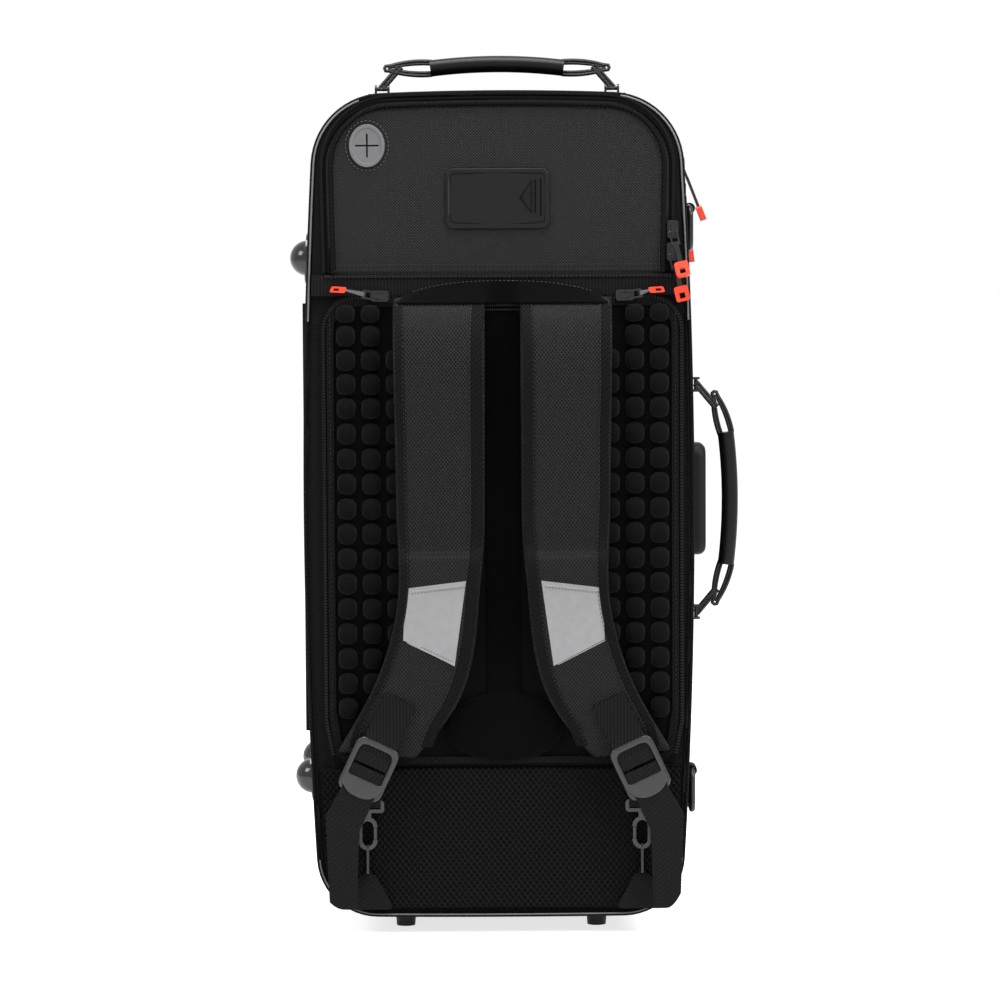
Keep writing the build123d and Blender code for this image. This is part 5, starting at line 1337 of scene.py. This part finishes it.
@dataclass
class TopPocket:
    """The zipped door over the yoke band, with its card holder and cable port."""

    bottom_half: float = 124.5
    top_half: float = 126.8
    seam: float = 477.7
    high: float = 602.4
    corner: float = 47.0
    crown: float = 4.0
    crown_from: float = 540.0
    near: float = -104.0
    zip_depth: float = -101.1
    piping: float = 1.9
    piping_inset: float = 6.6
    seam_inset: float = 9.2
    panel_middle: float = 538.0
    panel_half: Pair = (113.0, 58.0)
    panel_fall: Pair = (0.9, 1.4)
    hem_heights: Pair = (481.0, 484.4)
    fold_x: float = -34.8
    fold_heights: Pair = (520.0, 546.0)
    arrow: tuple[Pair, ...] = ((16.3, 532.0), (24.3, 544.3), (24.3, 521.6))
    arrow_bars: tuple[Triple, ...] = ((27.0, 544.6, 521.2), (31.0, 546.0, 519.0))
    groove_shade_radius: float = 0.42
    port_margin: float = 2.6
    port_steps: int = 40

    def outline(self, inset: float, depth: float, start: float) -> Route:
        """The door's line: up the left, over the top and down the right.

        Args:
            inset: How far it is drawn in.
            depth: Its y.
            start: The height of its ends.

        Returns:
            The line.
        """
        bottom, top, high = self.bottom_half - inset, self.top_half - inset, self.high - inset
        radius = self.corner - inset
        corners = [(-bottom, start, 0), (-top, high, radius), (top, high, radius), (bottom, start, 0)]

        def raise_top(p: Vector) -> Vector:
            """Lift the middle of the top edge."""
            share = max(0.0, 1 - (p.x / top) ** 2)
            return Vector((p.x, p.y, p.z + (self.crown * share if p.z > self.crown_from else 0)))

        return Route.rounded(corners, depth).bent(raise_top)

    def build(self) -> None:
        """Dress the door and what is sewn on it."""
        plumped("pocket_door", "pocket_door", DOOR_NYLON, 1.5, 4, 0.25, 0.5, self.crowned)
        dressed("pocket_zip_door", "pocket_door", ZIP_TAPE, 0.2)
        dressed("pocket_zip_frame", "back", ZIP_TAPE, 0.2)
        teeth = self.outline(-0.3, self.zip_depth, self.seam + 2)
        set_teeth(teeth, "pocket_teeth", "back", ZIP_COIL, 1.7, (0.95, 1.9, 0.9))
        cord = self.outline(self.piping_inset, self.near + 0.2, self.seam + 3)
        set_tube(cord, self.piping, "door_piping", "pocket_door", TWILL_TAPE)
        seam = self.outline(self.seam_inset, self.near - 0.15, self.seam + 4)
        set_stitches([seam], "door_seam", "pocket_door", DARK_THREAD)
        half, depth = self.panel_half[0], self.near - 0.1
        hem = [Route.straight((-half, depth, z), (half, depth, z)) for z in self.hem_heights]
        set_stitches(hem, "door_hem", "pocket_door", DARK_THREAD)
        self.tag()
        self.port()
        near = box_of("id_tag")[0].y + 0.3
        fold = Route([Vector((self.fold_x, near, z)) for z in self.fold_heights])
        set_tube(fold, 0.9, "tag_fold", "pocket_door", ACETAL, 8)

    def crowned(self, p: Vector) -> Vector:
        """Let the door's panel fall away a little towards its piping.

        Args:
            p: A place on the door.

        Returns:
            The place that it moves to.
        """
        if p.y > self.near + 1:
            return p
        across = min(1.0, abs(p.x) / self.panel_half[0])
        upward = min(1.0, abs(p.z - self.panel_middle) / self.panel_half[1])
        return Vector((p.x, p.y + self.panel_fall[0] * across ** 6 + self.panel_fall[1] * upward ** 3, p.z))

    def tag(self) -> None:
        """Dress the card holder and lay near-black tubes on its face along the pressed arrow, painted shade for its
        grooves.
        """
        dressed("id_tag", "pocket_door", TAG_LEATHER, 0.3)
        low, high = box_of("id_tag")
        y = low.y - 0.05
        # Painted shade: near-black tubes stand for the shade in the pressed arrow's grooves.
        lines = [Route([Vector((x, y, z)) for x, z in self.arrow], True)]
        lines += [Route.straight((x, y, upper), (x, y, lower)) for x, upper, lower in self.arrow_bars]
        for index, line in enumerate(lines):
            set_tube(line, self.groove_shade_radius, f"tag_groove_shade_{index}", "pocket_door", COVER_KNIT, 8)
        row = Route.framing(low, high, 1.4, 6, self.near - 0.25)
        set_stitches([row], "tag_stitches", "pocket_door", DARK_THREAD, 2.4, (1.5, 0.6, 0.5))

    def port(self) -> None:
        """Dress the cable port and sew its rim."""
        dressed("earphone_port", "pocket_door", PORT_RUBBER, 0.5, segments=3)
        low, high = box_of("earphone_port")
        middle, half = (low + high) / 2, (high - low) / 2
        width, height = half.x + self.port_margin, half.z + self.port_margin
        rim = [Vector((middle.x + width * math.cos(a), self.near - 0.15, middle.z + height * math.sin(a)))
               for a in (math.tau * i / self.port_steps for i in range(self.port_steps))]
        set_stitches([Route(rim, True)], "port_stitches", "pocket_door", GREY_THREAD, 3.0, (1.8, 0.5, 0.4))


@dataclass
class HarnessPanel:
    """The yoke band, the zipped back cover with its bumps and channel, and the mesh panel."""

    middle: float = 3.0
    half: float = 129.0
    top: float = 463.5
    bottom: float = 122.0
    corner: float = 24.0
    taper: float = 5.5
    taper_rise: float = 34.0
    near: float = -101.0
    arch_half: float = 69.0
    arch_height: float = 9.0
    arch_foot: float = 463.8
    arch_steps: int = 24
    band_half: float = 126.0
    # The near-black sheet of painted shade under the arch: the height of its foot, its depth where no strap is, and its
    # spread.
    shade_sheet_height: float = 457.6
    shade_sheet_rest: float = -103.5
    shade_sheet_spread: float = 1.17
    bar_ends: Pair = (-10.0, 17.0)
    bar_heights: Pair = (455.2, 452.2)
    binding_edges: Pair = (2.8, 8.0)
    zip_inner: float = 76.0
    zip_corner: float = 23.0
    columns: Triple = (77.0, 94.7, 112.4)
    upper_rows: tuple[float, float, int] = (451.0, 17.3, 5)
    lower_rows: tuple[float, float, int] = (363.5, 18.0, 12)
    bump_top: float = 449.6
    bump_depth: float = -103.0
    bump_near: float = -108.0
    bump_half: Triple = (7.1, 6.6, 7.8)
    top_bump_half: Triple = (7.1, 6.6, 6.7)

    def outline(self, inset: float, depth: float) -> Route:
        """The cover's line.

        Args:
            inset: How far it is drawn in.
            depth: Its y.

        Returns:
            The closed line.
        """
        half, low = self.half - inset, self.half - inset - self.taper
        top, bottom, radius = self.top - inset - 0.8, self.bottom + inset, self.corner - inset
        x, start = self.middle, bottom + self.taper_rise
        return Route.rounded([(x - low, bottom, radius * 0.6), (x + low, bottom, radius * 0.6), (x + half, start, 0),
                              (x + half, top, radius), (x - half, top, radius), (x - half, start, 0)], depth, True)

    def build(self) -> None:
        """Dress the panel from the top down."""
        self.band()
        self.cover()
        self.bumps()
        plumped("spine_pad", "back", LUMBAR_PLUSH, 1.1, 16, 0.6, 0.7)
        mesh = copied("lower_mesh_panel").soften(0.5, 2, angle=50).triangled().outward()
        mesh.piece("mesh_cloth", "back", SPACER_MESH, ["lower_mesh_panel"], pad=0.3)

    def band(self) -> None:
        """The ribbed band, a near-black sheet under its arched edge that paints the shade there, and the bar at the
        channel's head.
        """
        dressed("yoke_band", "back", RIB_TAPE, 0.5)
        low, high = box_of("yoke_band")
        near, top = low.y - 0.1, high.z - 2.0
        shares = [2 * i / self.arch_steps - 1 for i in range(self.arch_steps + 1)]
        arch = [Vector((self.middle + self.arch_half * t, near,
                        self.arch_foot + self.arch_height * (1 - abs(t) ** 2.6))) for t in shares]
        inner = [p for p in arch if abs(p.x - self.middle) < self.arch_half - 4]
        set_stitches([Route(inner)], "arch_stitches", "back", GREY_THREAD, 3.0, (1.9, 0.55, 0.45))
        row = Route.straight((-self.band_half, near, top), (self.band_half, near, top))
        set_stitches([row], "band_stitches", "back", DARK_THREAD)
        # Painted shade: a near-black sheet runs from the arch's edge back to the straps, where the arch casts its
        # shade.
        straps = CadSurface("strap_right", "strap_left")
        spread = [self.middle + (p.x - self.middle) * self.shade_sheet_spread for p in arch]
        sheet_foot = [Vector((x, straps.near(x, self.shade_sheet_height - 1.1, self.shade_sheet_rest) - 1.3, self.shade_sheet_height))
                  for x in spread]
        fold = Solid()
        ribbon(fold, Route(arch), Route(sheet_foot), 4)
        fold.thicken(0.9).piece("yoke_shade_sheet", "back", LUMBAR_PLUSH)
        left, right = self.bar_ends
        bars = [Route.straight((left, -103.2, z), (right, -103.2, z)) for z in self.bar_heights]
        set_stitches(bars, "channel_bar_stitches", "back", DARK_THREAD, 1.5, (1.1, 1.5, 0.6))

    def cover(self) -> None:
        """The cover's slab, its bound edge and the zip along each side."""
        dressed("back_cover", "back", COVER_KNIT, 0.8, pad=0.4)
        binding = Solid()
        outer, inner = (self.outline(inset, self.near - 1.9).opened() for inset in self.binding_edges)
        ribbon(binding, outer, inner, 4)
        binding.thicken(-1.6).soften(0.5, 2).piece("cover_binding", "back", TWILL_TAPE)
        dressed("cover_zips", "back", ZIP_TAPE, 0.2)
        for side, name in ((-1, "left"), (1, "right")):
            x, start, high = self.middle + side * (self.half - 0.6), self.middle + side * self.zip_inner, self.top - 2.6
            drawn = x - side * 4.6
            coil = Route.rounded([(start, high, 0), (x, high, self.zip_corner), (x, 156, 0), (drawn, 132, 0)], -101.6)
            set_teeth(coil, f"cover_teeth_{name}", "back", ZIP_COIL, 2.1, (1.2, 2.4, 1.0))
            seam = Route.straight((drawn, -103.2, 452), (drawn, -103.2, 158))
            set_stitches([seam], f"binding_stitches_{name}", "back", DARK_THREAD, 3.4)

    def bumps(self) -> None:
        """The soft square bumps in three columns beside each strap."""
        solid = Solid()
        surface = CadSurface("bump_pads")
        rows = (self.upper_rows, self.lower_rows)
        for z in (start - pitch * i for start, pitch, count in rows for i in range(count)):
            half = self.top_bump_half if z >= 450 else self.bump_half
            for column in self.columns:
                for x in (self.middle - column, self.middle + column):
                    if surface.near(x, z, 0) <= self.bump_near:
                        pillow(solid, (x, self.bump_depth, min(z, self.bump_top)), half, 0.74)
        solid.piece("bump_pillows", "back", PLUSH, ["bump_pads"], pad=0.9)


@dataclass
class Harness:
    """Shoulder straps, tabs, locks, webbing, hooks and their anchors."""

    middle: float = 3.0
    patch_rows: tuple[tuple[Pair, Pair, float], ...] = (
        ((-63.9203, 252.7186), (-23.6025, 257.3099), -1), ((-67.7226, 214.6964), (-30.7765, 196.9048), 1),
        ((31.5656, 257.3099), (72.4574, 252.7186), -1), ((40.1744, 196.9048), (76.7618, 215.8442), 1))
    patch_steps: int = 12
    hem_inward: float = 0.9
    hem_end: float = 0.04
    hem_to_seam: float = 1.7
    lock_out: float = 97.6
    lock_height: float = 123.3
    lock_turn: float = 25.0
    lock_steps: int = 48
    lock_rim: tuple[float, float, float, float] = (16.6, 21.0, 21.5, 0.8)
    lock_window: tuple[float, float, float, float] = (12.6, 16.4, 7.6, 0.12)
    lock_square: float = 0.3
    wraps: tuple[Pair, Pair] = ((7.4, 9.6), (-3.0, 7.6))
    webbing_width: float = 25.0
    tail_top: float = 105.0
    tail_run: float = 70.0
    tail_near: float = -101.0
    tail_inner: float = 99.0
    tail_middle: float = 115.8
    tail_half: float = 12.0
    tail_narrowing: float = 0.2
    tail_round: Pair = (4.5, 9.0)
    tail_round_to: float = 24.0
    strap_steps: int = 60
    strap_least: int = 24
    tape_edge: float = 0.6
    inner_tape: float = 8.6
    outer_tape: float = 6.6

    def build(self) -> None:
        """Dress the harness."""
        for side, sign in (("right", 1), ("left", -1)):
            plumped(f"strap_{side}", "back", STRAP_NYLON, 1.3, 6, 0.5, 0.75)
            self.binding(side, sign)
        keep(REFLECTIVE, "reflectors")
        dressed("strap_tabs", "back", RIB_TAPE, 0.4)
        keep(ACETAL, "ladder_locks", "snap_hooks")
        self.patches()
        self.lips()
        keep(BLACK_METAL, "corner_rings")
        self.webbing()
        dressed("corner_tabs", "back", WEBBING, 0.6)

    def patches(self) -> None:
        """Sew the reflective patches along their upper and lower edges."""
        surface = CadSurface("reflectors", "strap_right", "strap_left")
        sewn = 1 - 2 * self.hem_end
        shares = [self.hem_end + sewn * step / self.patch_steps for step in range(self.patch_steps + 1)]
        seams = []
        for index, (start, end, up) in enumerate(self.patch_rows):
            points = []
            for share in shares:
                x = start[0] + (end[0] - start[0]) * share
                z = start[1] + (end[1] - start[1]) * share + up * self.hem_inward
                points.append(Vector((x, surface.near(x, z, -122) - 0.25, z)))
            set_tube(Route(points), 0.45, f"patch_hem_{index}", "back", LIGHT_PIPING, 8)
            seams.append(Route([p + Vector((0, -0.2, up * self.hem_to_seam)) for p in points]))
        set_stitches(seams, "patch_stitches", "back", DARK_THREAD, 2.4, (1.3, 0.5, 0.4))

    def lock_points(self, half: float, top: float, bottom: float, round_end: float) -> list[Vector]:
        """A lock's line in its own plane: squared above, and as round as asked below.

        Args:
            half: Its half width.
            top: Its reach upwards.
            bottom: Its reach downwards.
            round_end: How round its lower end is, from 0, square, to 1.

        Returns:
            Points of the line.
        """
        points = []
        for step in range(self.lock_steps):
            angle = math.tau * step / self.lock_steps
            across, upward = math.cos(angle), math.sin(angle)
            power, reach = (self.lock_square, top) if upward > 0 else (round_end, bottom)
            points.append(Vector((half * math.copysign(abs(across) ** power, across), 0.0,
                                  reach * math.copysign(abs(upward) ** power, upward))))
        return points

    def lips(self) -> None:
        """The locks' moulded faces with half-round thumb ends, and the webbing round their middle bars."""
        near = box_of("ladder_locks")[0].y - 0.2
        place = (Matrix.Translation((self.middle + self.lock_out, near, self.lock_height))
                 @ Matrix.Rotation(math.radians(-self.lock_turn), 4, "Y"))
        face = Solid()
        rim, window = ([face.bm.verts.new(p) for p in self.lock_points(*sizes)]
                       for sizes in (self.lock_rim, self.lock_window))
        for corners in zip(rim, rim[1:] + rim[:1], window[1:] + window[:1], window):
            face.bm.faces.new(corners)
        face.thicken(2.6).soften(0.9, 3, angle=50)
        bmesh.ops.transform(face.bm, matrix=place, verts=list(face.bm.verts))
        face.mirrored(self.middle).outward().piece("lock_faces", "back", ACETAL)
        wrap = Solid()
        for height, length in self.wraps:
            size = Matrix.Diagonal((self.webbing_width, 1.6, length, 1))
            bmesh.ops.create_cube(wrap.bm, size=1, matrix=place @ Matrix.Translation((0, -0.6, height)) @ size)
        wrap.soften(0.6, 2).mirrored(self.middle).outward().piece("lock_webbing", "back", WEBBING)

    def webbing(self) -> None:
        """The webbing, with its tails drawn in and rounded at their ends."""
        solid = copied("harness_webbing").soften(0.4, 2, angle=50)
        ends = [e for e in solid.bm.edges
                if all(v.co.z < 30 and abs(v.co.x) > 95 for v in e.verts) and e.calc_length() > 8]
        bmesh.ops.subdivide_edges(solid.bm, edges=ends, cuts=6)
        solid.bend(self.draw_in).triangled().outward()
        solid.piece("harness_webbing_cloth", "back", WEBBING, ["harness_webbing"])

    def draw_in(self, p: Vector) -> Vector:
        """Narrow a tail towards its end and round its outer corner.

        Args:
            p: A place on the webbing.

        Returns:
            The place that it moves to.
        """
        out, sign = abs(p.x - self.middle), math.copysign(1, p.x - self.middle)
        if out < self.tail_inner or p.z > self.tail_top or p.y > self.tail_near:
            return p
        share = min(1.0, (self.tail_top - p.z) / self.tail_run)
        aside = out - self.tail_middle
        rise = 0.0
        if p.z < self.tail_round_to:
            rise = self.tail_round[int(sign > 0)] * max(0.0, aside / self.tail_half) ** 2
        x = self.middle + sign * (self.tail_middle + aside * (1 - self.tail_narrowing * share))
        return Vector((x, p.y, p.z + rise))

    def binding(self, side: str, sign: int) -> None:
        """The twill tape along both edges of a strap, with its seam.

        Args:
            side: The strap's side.
            sign: One on the right, less one on the left.
        """
        surface = CadSurface(f"strap_{side}")
        low, high = box_of(f"strap_{side}")
        start, run = high.z - 6, high.z - low.z - 14
        inner, outer = [], []
        for step in range(self.strap_steps + 1):
            z = start - run * step / self.strap_steps
            hits = [x for x in range(0, 125) if surface.near(self.middle + sign * x, z, 0) < -90]
            if len(hits) >= self.strap_least:
                inner.append((hits[0], z))
                outer.append((hits[-1], z))
        tape, seams = Solid(), []
        for line, inward, width in ((even_out(inner), 1, self.inner_tape), (even_out(outer), -1, self.outer_tape)):
            runs = []
            for reach in (self.tape_edge, width):
                points = []
                for x, z in line:
                    under = surface.near(self.middle + sign * (x + inward * max(reach, 2.5)), z, -112)
                    points.append(Vector((self.middle + sign * (x + inward * reach), under - 0.35, z)))
                runs.append(Route(points))
            ribbon(tape, runs[0], runs[1], 5)
            seams.append(Route([p + Vector((0, -0.9, 0)) for p in runs[1].points]))
        tape.outward()
        for face in tape.bm.faces:
            if face.normal.y > 0:
                face.normal_flip()
        tape.thicken(0.9).soften(0.3, 1, angle=60)
        tape.piece(f"strap_binding_{side}", "back", TWILL_TAPE)
        set_stitches(seams, f"strap_seam_{side}", "back", DARK_THREAD, 3.2, (2.2, 0.55, 0.5), shift=0.8)


@dataclass
class Carrying:
    """Handles, hand pad and the strap rings at the right."""

    depth: float = -45.0
    side_middle: float = 312.0
    grip_end: float = 47.0
    pin_out: float = 84.5
    loops: tuple[Triple, Triple] = ((5.3, 1.0, 1.5), (3.2, 0.9, 1.3))
    loop_steps: int = 10
    strap_radius: float = 1.5
    strap_gap: float = 1.35
    strap_reach: Pair = (10.5, 1.4)

    def build(self) -> None:
        """Dress what the case is carried by."""
        for name in ("top_handle", "side_handle"):
            keep(GRIP_LEATHER, f"{name}_grip")

        def above(length: float, height: float) -> Vector:
            """A place in the top handle's plane."""
            return Vector((length, self.depth, height))

        def beside(length: float, height: float) -> Vector:
            """A place in the side handle's plane."""
            return Vector((height, self.depth, self.side_middle + length))

        self.cords("top_handle", above, 611.55, 626.5, (80.5, 626.5))
        self.cords("side_handle", beside, 144.3, 166.5, (77.0, 158.0))
        keep(BLACK_METAL, "handle_anchors", "upper_ring", "lower_ring")
        dressed("hand_pad", "back", TAG_LEATHER, 1.2, pad=0.7, segments=3)
        dressed("ring_tabs", "back", WEBBING, 0.4)

    def loop(self, start: Vector, line: Vector, width: float, reach: float) -> list[Vector]:
        """One loop of cord from the grip out to its end and back, in the handle's plane.

        Args:
            start: Where it leaves the grip.
            line: The way from there to its end.
            width: How far it bows to each side.
            reach: Its share of the way.

        Returns:
            Points of the loop.
        """
        side = Vector((-line.y, line.x)).normalized()
        out = [start + line * t * reach + side * width * math.sin(math.pi * min(1.0, t * 0.62 + 0.36)) ** 0.7
               for t in (i / self.loop_steps for i in range(self.loop_steps))]
        cap = [start + line * reach + side * width * math.cos(a) * 0.35 + line.normalized() * math.sin(a) * 1.2
               for a in (0.4, math.pi / 2, math.pi - 0.4)]
        back = [start * 2 + line * 2 * ((p - start).dot(line) / line.length_squared) - p for p in reversed(out)]
        return out + cap + back

    def cords(self, name: str, place: Callable[[float, float], Vector], pin: float, grip: float, end: Pair) -> None:
        """Tie a handle's doubled cords: a long loop from the grip and a short strap from each anchor.

        Args:
            name: The handle's body.
            place: Turns a length along the grip and a height into a place.
            pin: The anchor pins' height.
            grip: The grip's height at its ends.
            end: Length and height of the loop's outer end.
        """
        start = Vector((self.grip_end, grip))
        line = Vector(end) - start
        low, high = Vector((self.pin_out, pin)), Vector((end[0] - self.strap_reach[0], end[1] + self.strap_reach[1]))
        across = Vector((low.y - high.y, high.x - low.x)).normalized()
        near = NEAR * self.strap_gap
        parts = bmesh.new()
        threads = []
        for sign in (-1, 1):
            runs = [(self.loop(start, line, width, reach), radius) for width, reach, radius in self.loops]
            runs += [((low + across * shift, high + across * shift), self.strap_radius)
                     for shift in (-self.strap_gap, self.strap_gap)]
            for points, radius in runs:
                cord = Route([place(sign * p.x, p.y) for p in points]).tube(radius)
                parts.from_mesh(cord)
                bpy.data.meshes.remove(cord)
            threads.append(Route([place(sign * p.x, p.y) + near for p in (low, high)]))
        mesh = bpy.data.meshes.new(f"{name}_ties")
        parts.to_mesh(mesh)
        parts.free()
        set_piece(mesh, f"{name}_ties", name, CORD, [f"{name}_cords"])
        set_stitches(threads, f"{name}_thread", name, GREY_THREAD, 2.4, (1.6, 0.5, 0.5))


@dataclass
class Feet:
    """Ball feet at the spine and studs under the bottom."""

    def build(self) -> None:
        """Give the feet their finishes."""
        keep(GLOSS_BLACK, "side_feet_back", "side_feet_lid")
        keep(FOOT_RUBBER, "bottom_feet_back", "bottom_feet_lid")


@dataclass
class Pulls:
    """Zip sliders and their corded pulls with slotted tips."""

    tip: float = 11.2
    arms: float = 9.6
    cover_tip_share: float = 0.42
    places: tuple[str, ...] = ("main_%s_upper", "main_%s_lower", "pocket_%s_upper", "pocket_%s_lower",
                               "cover_%s_right", "cover_%s_left", "front_%s")

    def build(self) -> None:
        """Dress every slider and pull."""
        for place in self.places:
            keep(BLACK_METAL, place % "slider")
            self.pull(place % "pull")

    def pull(self, node: str) -> None:
        """A pull's wire, cord and tip, told apart by how far they are from the hinge.

        Args:
            node: The pull's node.
        """
        solid = copied(node)
        joint = next(j for j in frame["record"]["behaviour"]["joints"] if j["child"] == node)
        pivot = Vector(joint["pos_m"]) / MM
        far = sorted(solid.bm.verts, key=lambda v: (v.co - pivot).length)[-8:]
        middle = sum((v.co for v in far), Vector()) / len(far)
        along = (middle - pivot).normalized()
        reach = max((v.co - pivot).dot(along) for v in solid.bm.verts)
        on_cover = node.startswith("cover")
        if on_cover:
            for vert in solid.bm.verts:
                if (vert.co - pivot).dot(along) > reach - self.tip:
                    vert.co.z = middle.z + (vert.co.z - middle.z) * self.cover_tip_share
        solid.soften(0.45, 2, angle=50)
        for face in solid.bm.faces:
            distance = (face.calc_center_median() - pivot).dot(along)
            face.material_index = 2 if distance > reach - self.tip else (1 if distance > self.arms else 0)
        piece = solid.piece(node + "_dressed", node, BLACK_METAL, [node])
        for finish in (STEEL_WIRE if on_cover else GLOSS_BLACK, SIGNAL_TIP):
            piece.data.materials.append(PALETTE.get(finish))


def main() -> None:
    """Build the studio and every sub-assembly in turn."""
    logging.basicConfig(level=logging.INFO, format="%(message)s")
    Studio().build()
    shape = BodyShape()
    for part in (Shell(shape), Interior(), TopPocket(), HarnessPanel(), Harness(), Carrying(), Feet(), Pulls()):
        part.build()
        LOG.info("%s is dressed", type(part).__name__)


if __name__ == "__main__":
    main()
